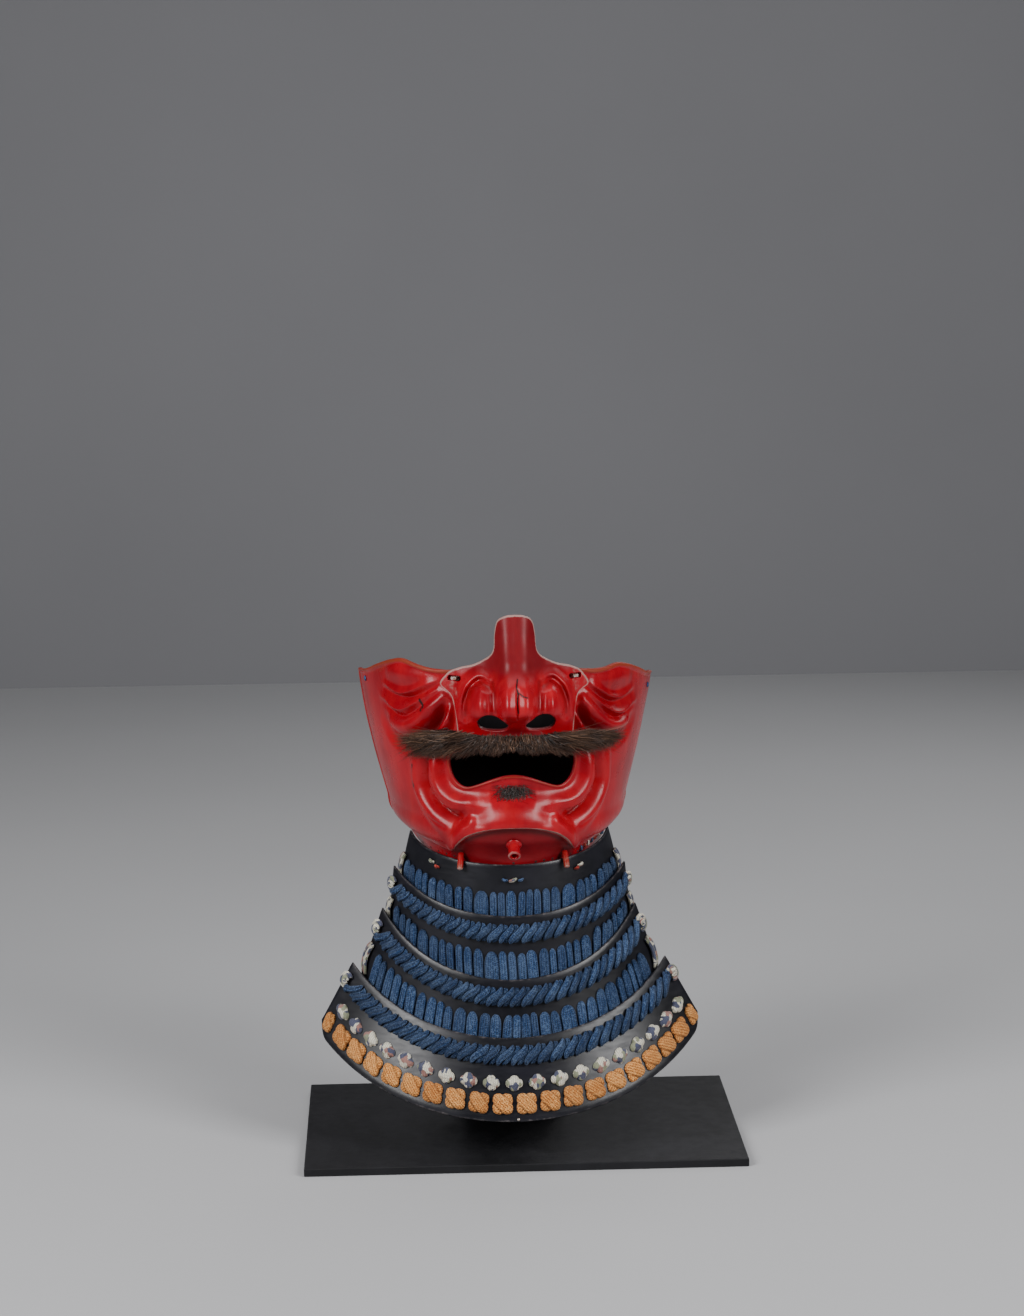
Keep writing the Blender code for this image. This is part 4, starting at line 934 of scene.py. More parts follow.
def silk(name, dark, light, glint_fleck):
    """Braided cord of one colour, its stitch crowns painted lighter and its valleys darker, with painted
    glints standing out of it.
    """
    n = Nodes(name)
    across, along, seed = n.split(n.value("weave"))
    height = braid_relief(n, across, along, 1.45, 1.15)
    fuzz = n.noise(1700.0, 3.0, 0.7)
    tone = n.plus(n.times(height, 0.75), n.times(fuzz, 0.45))
    # Patches where the stitch crowns take the pale colour: painted highlight
    sheen_patches = n.ramp(n.noise(75.0, 3.0, 0.6), 0.36, 0.70)
    glints = n.ramp(n.noise(1050.0, 2.0, 0.6), 0.51, 0.60)
    tint = n.ramp(n.math("FRACT", n.times(seed, 5.7)), 0.0, 1.0, 0.0, 0.38)
    # Painted light and shade: crowns of the stitches lighter, valleys darker
    colour = n.mix(n.ramp(tone, 0.32, 0.92), dark, light)
    colour = n.coat(colour, glint_fleck, n.times(sheen_patches, height), 0.45)
    colour = n.coat(colour, glint_fleck, glints, 0.58)
    colour = n.mix(tint, colour, dark)
    n.set(base_color=colour, metallic=0.0, specular_ior_level=0.18, sheen_weight=0.05, sheen_roughness=0.5)
    n.set(roughness=n.ramp(fuzz, 0.3, 0.8, 0.66, 0.88))
    n.set(normal=n.bump(fuzz, 0.00014, 0.6, n.bump(height, 0.0005, 0.9)))
    return n.material


def flecked_braid():
    """White braid with blocks of dark blue, dusty red and sage green."""
    n = Nodes("flecked_silk_finish")
    weave = n.value("weave")
    across, along, _ = n.split(weave)
    height = braid_relief(n, across, along, 1.1, 0.9)
    pick = n.split(n.cells(0.36, n.place((1.0, 0.8, 90.0), weave), "MANHATTAN", 0.85)["Color"])[0]
    fuzz = n.noise(1700.0, 3.0, 0.7)
    # Painted light and shade: the white braid lighter on the stitch crowns, darker in the valleys
    colour = n.mix(n.ramp(height, 0.1, 0.9), (0.33, 0.30, 0.23), (0.72, 0.69, 0.58))
    for low, high, paint in ((0.0, 0.29, (0.008, 0.018, 0.075)), (0.29, 0.41, (0.250, 0.105, 0.088)),
                             (0.41, 0.55, (0.180, 0.195, 0.120))):
        band = n.times(n.math("GREATER_THAN", pick, low), n.math("LESS_THAN", pick, high))
        colour = n.coat(colour, paint, band, n.ramp(height, 0.0, 0.6, 0.80, 0.95))
    colour = n.mix(n.ramp(fuzz, 0.58, 0.75, 0.0, 0.35), colour, (0.30, 0.28, 0.24))
    n.set(base_color=colour, metallic=0.0, specular_ior_level=0.3, sheen_weight=0.15, sheen_roughness=0.5)
    n.set(roughness=n.ramp(fuzz, 0.3, 0.8, 0.66, 0.88), normal=n.bump(height, 0.0004, 0.9))
    return n.material


def bristle():
    """Coarse hair, each strand its own brown and paler towards the tip."""
    n = Nodes("bristle_finish")
    _, along, seed = n.split(n.value("weave"))
    colour = n.mix(n.ramp(seed, 0.0, 0.80), (0.0070, 0.0032, 0.0022), (0.058, 0.026, 0.0135))
    colour = n.mix(n.ramp(seed, 0.74, 1.0), colour, (0.165, 0.088, 0.050))
    colour = n.mix(n.ramp(along, 0.3, 1.0, 0.0, 0.22), colour, (0.105, 0.054, 0.030))
    n.set(base_color=colour, metallic=0.0, specular_ior_level=0.45)
    n.set(roughness=n.ramp(n.noise(900.0, 2.0), 0.3, 0.7, 0.45, 0.65))
    return n.material


def powder_coat():
    """Black coated steel of the stand: fine grain, dust and a few faint scuffs."""
    n = Nodes("powder_coat_finish")
    broad = n.ramp(n.noise(16.0, 5.0, 0.65), 0.35, 0.7)
    dust = n.ramp(n.noise(420.0, 6.0, 0.8), 0.58, 0.80)
    scuffs = n.ramp(n.noise(55.0, 6.0, 0.75, distortion=0.8), 0.66, 0.74)
    colour = n.mix(broad, (0.0075, 0.0075, 0.0085), (0.013, 0.013, 0.015))
    colour = n.coat(colour, (0.07, 0.07, 0.075), dust, 0.3)
    colour = n.coat(colour, (0.09, 0.09, 0.095), scuffs, 0.20)
    n.set(base_color=colour, metallic=0.0, specular_ior_level=0.20)
    n.set(roughness=n.ramp(n.noise(120.0, 4.0, 0.6), 0.3, 0.75, 0.40, 0.54))
    n.set(normal=n.bump(n.noise(2200.0, 2.0, 0.6), 0.00008, 0.6))
    return n.material


def steel():
    """Bright steel with brown rust in patches."""
    n = Nodes("worn_steel_finish")
    rust = n.ramp(n.noise(420.0, 5.0, 0.7), 0.42, 0.66)
    colour = n.mix(rust, (0.42, 0.38, 0.34), (0.16, 0.065, 0.030))
    n.set(base_color=colour, metallic=0.85, roughness=n.ramp(rust, 0.0, 1.0, 0.34, 0.62))
    n.set(normal=n.bump(n.noise(1400.0, 3.0), 0.00008, 0.6))
    return n.material


def plain(name, scale, low, high, roughness):
    """A matt finish that varies softly between two colours."""
    n = Nodes(name)
    n.set(base_color=n.mix(n.noise(scale, 3.0), low, high), roughness=roughness)
    return n.material


# Face plate

def seat_on_face(x, z, lift=0.0):
    """A point lifted off the face plate, and the direction out of the base form there."""
    z = np.array([z])
    angle = base_angle(x, z)
    out = base_normal(angle, z)[0]
    return face_point(angle, z)[0] + out * lift, out


def scaled(line):
    """Angle and height of a line's points, the angle scaled so that both are lengths."""
    return np.stack([base_angle(line[:, 0], line[:, 1]) * ANGLE_LENGTH, line[:, 1]], -1)


def face_columns():
    """Mouth end, outer end and ring shares of every column of the face plate."""
    rays = np.array(FACE_RAYS, float)
    corners = [i for i in range(len(rays)) if rays[i, 4] == 1]
    mouth = smooth_rays(scaled(rays[:, 0:2] * MM), [], FACE_STEPS)
    edge = smooth_rays(scaled(rays[:, 2:4] * MM), corners, FACE_STEPS)
    mouth[:, 0] /= ANGLE_LENGTH
    edge[:, 0] = np.clip(edge[:, 0] / ANGLE_LENGTH, 0, math.pi / 2)
    total = sum(FACE_RINGS)
    knots = np.cumsum([0, *FACE_RINGS])
    even = np.linspace(0, 1, total + 1)
    shares = np.tile(even, (len(mouth), 1))
    along = np.linspace(0, 1, 600)
    last = LEDGE_RAY * FACE_STEPS
    for i in range(last + 1):
        run = edge[i] - mouth[i]
        line = mouth[i] + run * along[:, None]
        x = base_point(line[:, 0], line[:, 1])[:, 0]
        crossing = along[np.argmax(line[:, 1] < ledge_line(x))]
        step = LEDGE_STEP / np.linalg.norm(run * [ANGLE_LENGTH, 1.0])
        marks = [0.0, crossing - step * 0.45, crossing + step * 0.6, 1.0]
        shares[i] = np.interp(np.arange(total + 1), knots, marks)
    blended = BLEND_RAYS * FACE_STEPS
    for i in range(1, blended):
        blend = smoothstep(i / blended, 0, 1)
        shares[last + i] = shares[last] * (1 - blend) + even * blend
    return mouth, edge, shares


def face_marks(x, z, relief, from_rim, from_mouth):
    """Marks of the face plate: on its outer side, at its rim and inside."""
    wide = np.abs(x)
    below = ledge_line(wide) - z
    on_chin = wide < CHIN_HALF_WIDTH
    on_ledge = on_chin * faded(np.abs(below), "ledge")
    under = (below > 0) * (wide < CHIN_HALF_WIDTH + 0.002)
    corner = grown(wide, "cheek_side") * grown(z, "cheek_top")
    shadow = on_chin * grown(below, "below_ledge") * faded(below, "ledge_shadow")
    worn = [
        faded(from_rim, "rim_worn") * (0.55 + 0.35 * grown(z, "above_flange")),
        0.8 * faded(from_mouth, "mouth_worn"),
        0.75 * on_ledge,
        0.6 * corner * faded(from_rim, "corner_worn"),
        0.42 * under * grown(z, "under_chin"),
    ]
    return {
        "worn": (np.maximum.reduce(worn), 0.75, 0.25),
        # Pale line on the ledge's crest and at the mouth's edge: wear, painted partly as highlight
        "bare": (1.05 * on_ledge + 0.40 * faded(from_mouth, "mouth_bare_and_sheen"), 0.0, 0.0),
        # Painted shade in the grooves, by their depth, and in a strip under the chin's ledge
        "hollow": (np.maximum(np.clip(-relief / FULL_SHADE_DEPTH, 0, 1), 0.8 * shadow), 0.1, 0.1),
        "crack": (faded(line_distance(x, z, CRACKS), "face_crack"), 0.0, 0.0),
        # Painted shade under the chin's ledge, on the rim and on the inner side
        "dull": (0.85 * under * grown(below, "chin_shade"), 0.5, 0.5),
    }


def build_face(material):
    """The face plate as one closed wall: outer side, rim, inner side and the mouth's lip."""
    mouth, edge, shares = face_columns()
    half = mouth[:, None, :] * (1 - shares[..., None]) + edge[:, None, :] * shares[..., None]
    angle, z = np.moveaxis(np.concatenate([half, half[-2:0:-1] * [-1, 1]]), -1, 0)
    base = base_point(angle, z)
    normal = base_normal(angle, z)
    relief = face_relief(angle, z)
    sheet = base + normal * relief[..., None]
    from_rim = edge_distances(sheet, sheet[:, -1])
    from_mouth = edge_distances(sheet, sheet[:, 0])
    lip = TOP_LIP_HEIGHT * faded(from_rim, "top_lip") * grown(z, "above_flange")
    lip *= clear_of_nose(base[..., 0], z)
    lip += MOUTH_LIP_HEIGHT * faded(from_mouth, "mouth_lip")
    outer = tilt(sheet + normal * lip[..., None])
    pick = np.unique(np.round(np.linspace(0, sum(FACE_RINGS), INNER_RINGS)).astype(int))
    inner = tilt(sheet - normal * FACE_WALL)[:, pick]
    rims = rim_rings(outer[:, -1], inner[:, -1], unit(outer[:, -1] - outer[:, -3]))
    lips = rim_rings(inner[:, 0], outer[:, 0], unit(outer[:, 0] - outer[:, 2]))
    rings = np.array([*np.moveaxis(outer, 1, 0), *rims, *np.moveaxis(inner, 1, 0)[::-1], *lips])
    count, columns = rings.shape[:2]
    marks = face_marks(base[..., 0], z, relief, from_rim, from_mouth)
    shape = Shape()
    shape.add(rings, quads(count, columns, True, True), **wall_values(marks, count, columns))
    make_piece("face_plate_skin", shape, material, ("face_plate",))


# Nose plate

def nose_stand_out(x, z):
    """How far the nose stands out in front of its tabs at a place of the front view."""
    heights = np.array([row[0] for row in NOSE_ROWS]) * MM
    table = np.array([row[1] for row in NOSE_ROWS]) * MM
    stations = np.array(NOSE_STATIONS) * MM
    columns = np.stack([hermite(z, heights, table[:, k]) for k in range(len(stations))], -1)
    slopes = np.gradient(columns, stations, axis=-1)
    slopes[..., 0] = 0.0
    x = np.clip(np.abs(x), 0, stations[-1])
    i = np.clip(np.searchsorted(stations, x) - 1, 0, len(stations) - 2)
    step = stations[i + 1] - stations[i]
    start = np.arange(x.size), i
    end = np.arange(x.size), i + 1
    t = (x - stations[i]) / step
    return hermite_piece(t, step, columns[start], columns[end], slopes[start], slopes[end])


def nose_point(x, z, depth=0.0):
    """A point of the nose plate by its place in the front view, before the plate's shift."""
    shape = x.shape
    x = x.ravel()
    z = z.ravel()
    place = base_point(np.abs(base_angle(x, z)), z)
    out = nose_stand_out(x, z) + folds(place, NOSE_FOLDS) * smoothstep(z, 0.244, 0.256)
    angle = base_angle(x + NOSE_SHIFT, z)
    point = base_point(angle, z) + base_normal(angle, z) * (NOSE_SEAT + NOSE_WALL - depth)
    point[:, 1] -= out
    return tilt(point).reshape(*shape, 3)


def nose_rays():
    """Hole and edge lines round half of the nose plate, closed on themselves."""
    rays = np.array(NOSE_RAYS, float) * [MM, MM, MM, MM, 1]
    count = len(rays)
    place = np.arange(count * NOSE_STEPS) / NOSE_STEPS
    round_again = np.concatenate([rays[-3:], rays, rays[:4]])
    ids = np.arange(-3, count + 4)
    hole = np.stack([hermite(place, ids, round_again[:, k]) for k in (0, 1)], -1)
    edge = np.zeros((len(place), 2))
    breaks = [0, NOSE_CORNER_RAY, NOSE_TOP_RAY, count]
    closed = np.concatenate([rays, rays[:1]])
    for a, b in zip(breaks[:-1], breaks[1:]):
        inside = (place >= a) & (place <= b)
        for k in (0, 1):
            edge[inside, k] = hermite(place[inside], np.arange(a, b + 1), closed[a:b + 1, 2 + k])
    edge[place >= NOSE_TOP_RAY, 0] = 0.0
    edge[0, 0] = 0.0
    return hole, edge


def nose_marks(x, z, from_rim, from_hole):
    """Marks of the nose plate: on its outer side, at its rim and inside."""
    # Painted shade along the nose's grooves
    groove = faded(line_distance(np.abs(x), z, SHADED_NOSE_GROOVES), "nose_groove_shade")
    # The nose's tabs: pale tone painted as a reflection
    tab_sheen = grown(np.abs(x), "tab_side") * grown(z, "tab_top")
    return {
        "worn": (0.45 * faded(from_rim, "nose_worn"), 0.4, 0.0),
        # Pale rim wear, partly painted highlight, and the tabs' painted reflection
        "bare": (np.maximum(0.95 * faded(from_rim, "nose_bare_and_sheen"), 0.60 * tab_sheen), 0.95, 0.0),
        # Painted shade round the nostrils, along the grooves and on the inner side
        "hollow": (np.maximum(0.5 * faded(from_hole, "nostril"), 0.62 * groove), 0.0, 0.6),
        "crack": (faded(line_distance(x, z, NOSE_CRACKS), "nose_crack"), 0.0, 0.0),
        # Painted shade over the top of the bridge, on the rim and on the inner side
        "dull": (grown(z, "bridge_shade"), 0.5, 0.5),
    }


def add_nose_half(shape, x, z, free):
    """Half of the nose plate round one nostril; free marks the columns that end at its rim."""
    columns = len(x)
    outer = nose_point(x, z)
    inner = nose_point(x, z, NOSE_WALL)
    hole = outer[:, 0]
    outward = unit(outer[:, -1] - outer[:, -2])
    outward[~free] = [0.0, 0.0, 1.0]
    outward[0] = [0.0, 0.0, -1.0]
    rims = rim_rings(outer[:, -1], inner[:, -1], outward)
    back = np.array([0.0, 1.0, 0.25])
    towards = unit(hole.mean(0) - hole)
    walls = [hole + towards * near + back * deep for near, deep in NOSTRIL_WALL]
    walls.append(inner[:, 0] - towards * 0.0002 + back * 0.0004)
    rings = np.array([*np.moveaxis(outer, 1, 0), *rims, *np.moveaxis(inner, 1, 0)[:0:-1], *walls[::-1]])
    faces = quads(len(rings), columns, True, True)
    ring, column = np.divmod(faces[:, 0], columns)
    on_rim = (ring >= NOSE_RINGS) & (ring <= NOSE_RINGS + RIM_RINGS)
    keep = ~on_rim | free[column] | free[(column + 1) % columns]
    marks = nose_marks(x, z, edge_distances(outer, outer[free][:, -1]), edge_distances(outer, hole))
    shape.add(rings, faces[keep], **wall_values(marks, len(rings), columns))


def build_nose(material):
    """The nose plate as two mirrored halves, with the slots cut through its tabs."""
    hole, edge = nose_rays()
    share = (np.linspace(0, 1, NOSE_RINGS + 1) ** 1.1)[None, :, None]
    half = hole[:, None, :] * (1 - share) + edge[:, None, :] * share
    shape = Shape()
    for side in (1.0, -1.0):
        add_nose_half(shape, half[..., 0] * side, half[..., 1], edge[:, 0] > 0)
    cut_slots(make_piece("nose_plate_skin", shape, material, ("nose_plate",)))


def cut_slots(nose):
    """The two long holes of the tabs, cut with rounded bars that are then removed."""
    turns = 2 * math.pi * np.arange(SLOT_SIDES) / SLOT_SIDES
    reach = np.where(np.cos(turns) > 0, 1, -1)[:, None] * (SLOT_LENGTH - SLOT_HEIGHT) / 2
    for side in (-1.0, 1.0):
        seat, out = seat_on_face(SLOT_X * side + NOSE_SHIFT, SLOT_Z)
        along = unit(np.cross(out, [0.0, 0.0, 1.0]))
        ring = circle(SLOT_SIDES, along, np.cross(along, out)) * SLOT_HEIGHT / 2 + reach * along
        bar = np.concatenate([seat + out * level + ring for level in SLOT_LEVELS])
        mesh = bpy.data.meshes.new("slot")
        mesh.from_pydata(bar.tolist(), [], tube_faces(len(SLOT_LEVELS), SLOT_SIDES))
        clean_mesh(mesh)
        cutter = add_object("slot", mesh)
        cut = nose.modifiers.new("slot", "BOOLEAN")
        cut.operation = "DIFFERENCE"
        cut.solver = "EXACT"
        cut.object = cutter
        bpy.context.view_layer.objects.active = nose
        bpy.ops.object.modifier_apply(modifier=cut.name)
        bpy.data.objects.remove(cutter)


# Lames

def lame_grid(index, shares, turns):
    """Points of a lame's outer side: shares of its height by shares of its half angle."""
    z0, z1, rise0, rise1, r0, r1, a0, a1, y0, y1, shift = LAMES[index]
    s, t = np.broadcast_arrays(shares, turns)
    radius = (r0 + (r1 - r0) * s) * MM
    angle = np.radians(a0 + (a1 - a0) * s) * t
    front = (y0 + (y1 - y0) * s) * MM
    height = (z0 + (z1 - z0) * s + (rise0 + (rise1 - rise0) * s) * t**2) * MM
    across = radius * np.sin(angle) + shift * MM
    return np.stack([across, front + radius * (1 - np.cos(angle)), height], -1)


def lame_normal(index, shares, turns):
    step = 1e-3
    across = lame_grid(index, shares, turns + step) - lame_grid(index, shares, turns - step)
    down = lame_grid(index, shares + step, turns) - lame_grid(index, shares - step, turns)
    return unit(np.cross(down, across))


def on_lame(index, shares, turns, lift):
    """Points off a lame's outer side by their lift."""
    return lame_grid(index, shares, turns) + lame_normal(index, shares, turns) * np.asarray(lift)[..., None]


def turn_places(index, share, reach):
    """Turns and lengths along a lame, to place things at equal steps of length."""
    turns = np.linspace(-reach, reach, 600)
    return turns, lengths_along(lame_grid(index, share, turns))


def share_length(index):
    """Length of a lame down its middle."""
    top, bottom = lame_grid(index, np.array([0.0, 1.0]), 0.0)
    return np.linalg.norm(top - bottom)


def build_lame(index, material):
    """One lame: outer side, inner side and a rounded edge all round."""
    turns, shares = np.meshgrid(np.linspace(-1, 1, LAME_COLUMNS + 1), np.linspace(0, 1, LAME_ROWS + 1),
                                indexing="ij")
    if index == LAST_LAME:
        shares = shares * (1 - LAME_CORNER * np.clip((np.abs(turns) - 0.93) / 0.07, 0, 1) ** 2)
    outer = on_lame(index, shares, turns, 0.0)
    inner = on_lame(index, shares, turns, -LAME_WALL)
    rows, columns = turns.shape
    loop = [(i, 0) for i in range(rows)] + [(rows - 1, j) for j in range(1, columns)]
    loop += [(i, columns - 1) for i in range(rows - 2, -1, -1)] + [(0, j) for j in range(columns - 2, 0, -1)]
    i, j = np.transpose(loop)
    inside = outer[np.clip(i, 1, rows - 2), np.clip(j, 1, columns - 2)]
    rims = rim_rings(outer[i, j], inner[i, j], unit(outer[i, j] - inside))
    rings = np.array([outer[i, j], *rims, inner[i, j]])
    from_end = (1 - np.abs(turns)) * LAME_HALF_LENGTH
    near = np.minimum(np.minimum(shares, 1 - shares) * share_length(index), from_end)
    shape = Shape()
    # Paler along the edges and round the rim: wear and a painted highlight
    shape.add(outer, quads(rows, columns), worn=0.62 * faded(near, "lame_wear_and_sheen"))
    shape.add(inner, quads(rows, columns), worn=0.2)
    shape.add(rings, quads(len(rings), len(loop), False, True), worn=0.62)
    node = f"throat_lame_{index + 1}"
    make_piece(node + "_skin", shape, material, (node,))


# Lacing

def ribbed_profile(u, grooves, depth):
    """Height of a flat braid across its width, with grooves along it."""
    height = np.clip(1 - np.abs(u) ** 3.2, 0, 1) ** 0.5
    for place in grooves:
        height = height * (1 - depth * np.exp(-(((u - place) / 0.13) ** 2)))
    return height


def build_upright(number, material):
    """One row of upright cords: flat braids of uneven width, round at the top, tucked in below."""
    index, count, top, bottom = UPRIGHT_ROWS[number]
    random = np.random.default_rng(40 + number)
    turns, lengths = turn_places(index, (top + bottom) / 2, ROW_END)
    shares = random.uniform(0.72, 1.18, count)
    shares[random.choice(count, count // 7, replace=False)] *= 1.45
    edges = np.concatenate([[0], np.cumsum(shares)])
    edges = edges / edges[-1] * lengths[-1]
    down = share_length(index)
    front = np.linspace(-1, 1, 15)
    u = np.concatenate([front, [0.6, 0.0, -0.6]])
    shape = Shape()
    lean = 0.0
    for near_edge, far_edge in zip(edges[:-1], edges[1:]):
        middle = (near_edge + far_edge) / 2
        half = (far_edge - near_edge) / 2 - random.uniform(-0.00006, 0.00016)
        lean = 0.55 * lean + random.normal(0, 0.0007)
        start = top + random.uniform(-0.020, 0.026)
        length = (bottom - start) * down
        point = half * random.uniform(1.2, 2.2)
        v = np.concatenate([np.array([0.02, 0.10, 0.24, 0.45, 0.7, 1.0]) * point,
                            np.linspace(point * 1.3, length, 9)])
        wide = np.sqrt(1 - (1 - np.clip(v / point, 0, 1)) ** 2)
        wide = wide * (1 - 0.05 * smoothstep(v, 0.5 * length, length))
        rise = np.sqrt(1 - (1 - np.clip(v / (half * 1.6), 0, 1)) ** 2)
        grooves = ((), (0.02,), (-0.36, 0.36), (-0.28,), (0.30,))[random.integers(5)]
        if half > WIDE_CORD_HALF:
            grooves = (0.0,)
        lift = CORD_THICKNESS * random.uniform(0.88, 1.0)
        sway = 1 + 0.04 * np.sin(v * 900 + random.uniform(0, 6))
        high = GAP + lift * ribbed_profile(u, grooves, 0.20) * (rise * sway)[:, None]
        high[:, len(front):] = GAP * 0.6
        across = middle + lean * (1 - v / length)[:, None] + u * (half * wide)[:, None]
        grid = on_lame(index, start + v[:, None] / down, np.interp(across, lengths, turns), high)
        weave = weave_at(u * half * 1000 + 50, v[:, None] * 1000, random.uniform(0, 1))
        shape.add(grid, tube_faces(len(v), len(u)), weave=weave)
    node = f"upright_lacing_{number + 1}"
    make_piece(node + "_cords", shape, material, (node,))


def add_strand(shape, index, shares, turns, lift, radii, sides, seed):
    """A round strand over a lame, along shares of its height and of its half angle."""
    path = on_lame(index, shares, turns, lift)
    rings = tube(path, radii, sides, lame_normal(index, shares, turns)[0])
    around = np.arange(sides) / sides * 2 * math.pi * np.max(radii) * 1000
    weave = weave_at(around + 50, lengths_along(path)[:, None] * 1000, seed)
    shape.add(rings, tube_faces(len(path), sides), weave=weave)


def build_twisted(number, material):
    """One row of leaning twisted cords: in each a full strand and two thinner ones below it."""
    index, count, top, bottom = TWISTED_ROWS[number]
    random = np.random.default_rng(60 + number)
    turns, lengths = turn_places(index, (top + bottom) / 2, ROW_END)
    pitch = lengths[-1] / count
    down = share_length(index)
    height = (bottom - top) * down
    past_end = ROW_END + 0.02
    v = (1 - np.cos(np.linspace(0.07, math.pi - 0.07, 16))) / 2
    full = np.sin(math.pi * v) ** 0.34
    bend = 0.35 + 0.65 * np.sin(math.pi * np.clip(v * 0.86 + 0.08, 0, 1)) ** 0.6
    shape = Shape()
    for k in range(count):
        middle = (k + 0.42) * pitch + random.normal(0, 0.04) * pitch
        lean = pitch * random.uniform(0.50, 0.62)
        seed = random.uniform(0, 1)
        for short, aside, radius, rise in TWIST_STRANDS:
            a = middle + lean * (1 - short) * (1 - 2 * v) + 0.12 * pitch * np.sin(2 * math.pi * v)
            a = a + aside * pitch * bend
            b = height * (0.07 + (0.86 - 0.06 * aside) * v) + short * 0.0015
            radii = radius * random.uniform(0.92, 1.06) * full
            lift = GAP + radii + rise * np.sin(math.pi * v)
            turn = np.interp(a, lengths, turns, left=-past_end, right=past_end)
            add_strand(shape, index, top + b / down, turn, lift, radii, 12, seed)
    node = f"twisted_lacing_{number + 1}"
    make_piece(node + "_cords", shape, material, (node,))


def bow_strands(end, high):
    """Strands of the bow at an upright row's end: places along and down, radii and rise."""
    v = np.linspace(0, 1, 20)
    arch = np.sin(math.pi * v)
    strands = []
    for number, (inset, radius) in enumerate(((0.0022, 0.0012), (0.0002, 0.0013))):
        a = end - inset - 0.0022 * (1 - arch) + 0.0004 * number
        b = -0.0012 + (high + 0.0006) * v
        radii = radius * np.clip(arch + 0.45, 0, 1) ** 0.5
        strands.append((a, b, radii, 0.0007 * arch * (1 - number)))
    return strands


def ring_strands(end, high):
    """Strands of the ring at a twisted row's end, in the same way."""
    strands = []
    for number, (reach, radius, opening) in enumerate(((0.0031, 0.00185, 2.25), (0.0010, 0.0017, 2.9))):
        turn = np.linspace(-opening, opening, 26)
        a = end - 0.0040 + reach * np.cos(turn) * 0.95
        b = high / 2 - 0.0003 + reach * np.sin(turn) * 1.12
        radii = radius * np.clip(1.35 - np.abs(turn) / opening, 0, 1) ** 0.4
        strands.append((a, b, radii, 0.0010 * number))
    return strands


def build_edge_lacing(material):
    """Flecked braid at both ends of every row: a ring at a twisted row, a long bow at an upright one."""
    rows = [(index, top, bottom, bow_strands) for index, _, top, bottom in UPRIGHT_ROWS]
    rows += [(index, top, bottom, ring_strands) for index, _, top, bottom in TWISTED_ROWS]
    rows.sort(key=lambda row: row[:2])
    random = np.random.default_rng(81)
    for number, (index, top, bottom, strands_of) in enumerate(rows):
        down = share_length(index)
        turns, lengths = turn_places(index, (top + bottom) / 2, 1.0)
        end = lengths[-1]
        for side, label in ((-1, "left"), (1, "right")):
            shape = Shape()
            for a, b, radii, rise in strands_of(end, (bottom - top) * down):
                turn = np.where(a > end, 1 + (a - end) / end * 2, np.interp(a, lengths, turns)) * side
                lift = GAP + radii + rise
                add_strand(shape, index, top + b / down, turn, lift, radii, 14, random.uniform(0, 1))
            node = f"edge_lacing_{label}_{number + 1}"
            make_piece(node + "_loops", shape, material, (node,))


def pad_rays(sides):
    """Cosines and sines of the rays of a pad's polar grid."""
    turns = 2 * math.pi * np.arange(sides) / sides
    return np.cos(turns), np.sin(turns)


def cross_pad():
    """Places and heights of a small knot: a wide loop lying over an upright one."""
    cos, sin = pad_rays(48)
    rho = np.concatenate([[0.001], np.linspace(0.12, 0.90, 9), [0.96, 0.99, 1.0]])[:, None]
    lying = (np.abs(cos) ** 2.5 + np.abs(sin / 0.66) ** 2.5) ** (-0.4)
    standing = (np.abs(cos / 0.60) ** 2.5 + np.abs(sin) ** 2.5) ** (-0.4)
    outline = np.maximum(lying, standing)
    x = rho * outline * cos
    y = rho * outline * sin
    over = np.clip(1 - np.abs(x) ** 2.5 - np.abs(y / 0.62) ** 2.5, 0, 1) ** 0.5
    under = 0.80 * np.clip(1 - np.abs(x / 0.60) ** 2.5 - np.abs(y) ** 2.5, 0, 1) ** 0.5
    height = np.maximum(over, under)
    height[-1] = 0.0
    return x, y, height, x, y


def square_pad():
    """The same of a square knot: a wide slanting band over another, which shows at two corners."""
    cos, sin = pad_rays(64)
    rho = np.concatenate([[0.001], np.linspace(0.10, 0.88, 12), [0.94, 0.98, 1.0]])[:, None]
    outline = (np.abs(cos) ** 4.2 + np.abs(sin) ** 4.2) ** (-1 / 4.2)
    slant = (cos - sin) / math.sqrt(2) * outline
    outline = outline * (1 - 0.10 * np.exp(-(((np.abs(slant) - 0.68) / 0.10) ** 2)))
    x = rho * outline * cos
    y = rho * outline * sin
    cross = (x - y) / math.sqrt(2)
    along = (x + y) / math.sqrt(2)
    dome = (1 - rho**4.5) ** 0.5
    groove = np.exp(-(((np.abs(cross) - 0.66) / 0.085) ** 2)) * smoothstep(rho, 0.3, 0.7)
    band = np.abs(cross) < 0.66
    across = np.where(band, cross, along)
    ribs = 0.028 * np.cos(2 * math.pi * across / 0.25)
    height = dome * (np.where(band, 1.0, 0.84) - 0.30 * groove + ribs * dome)
    return x, y, height, across, np.where(band, along, cross)


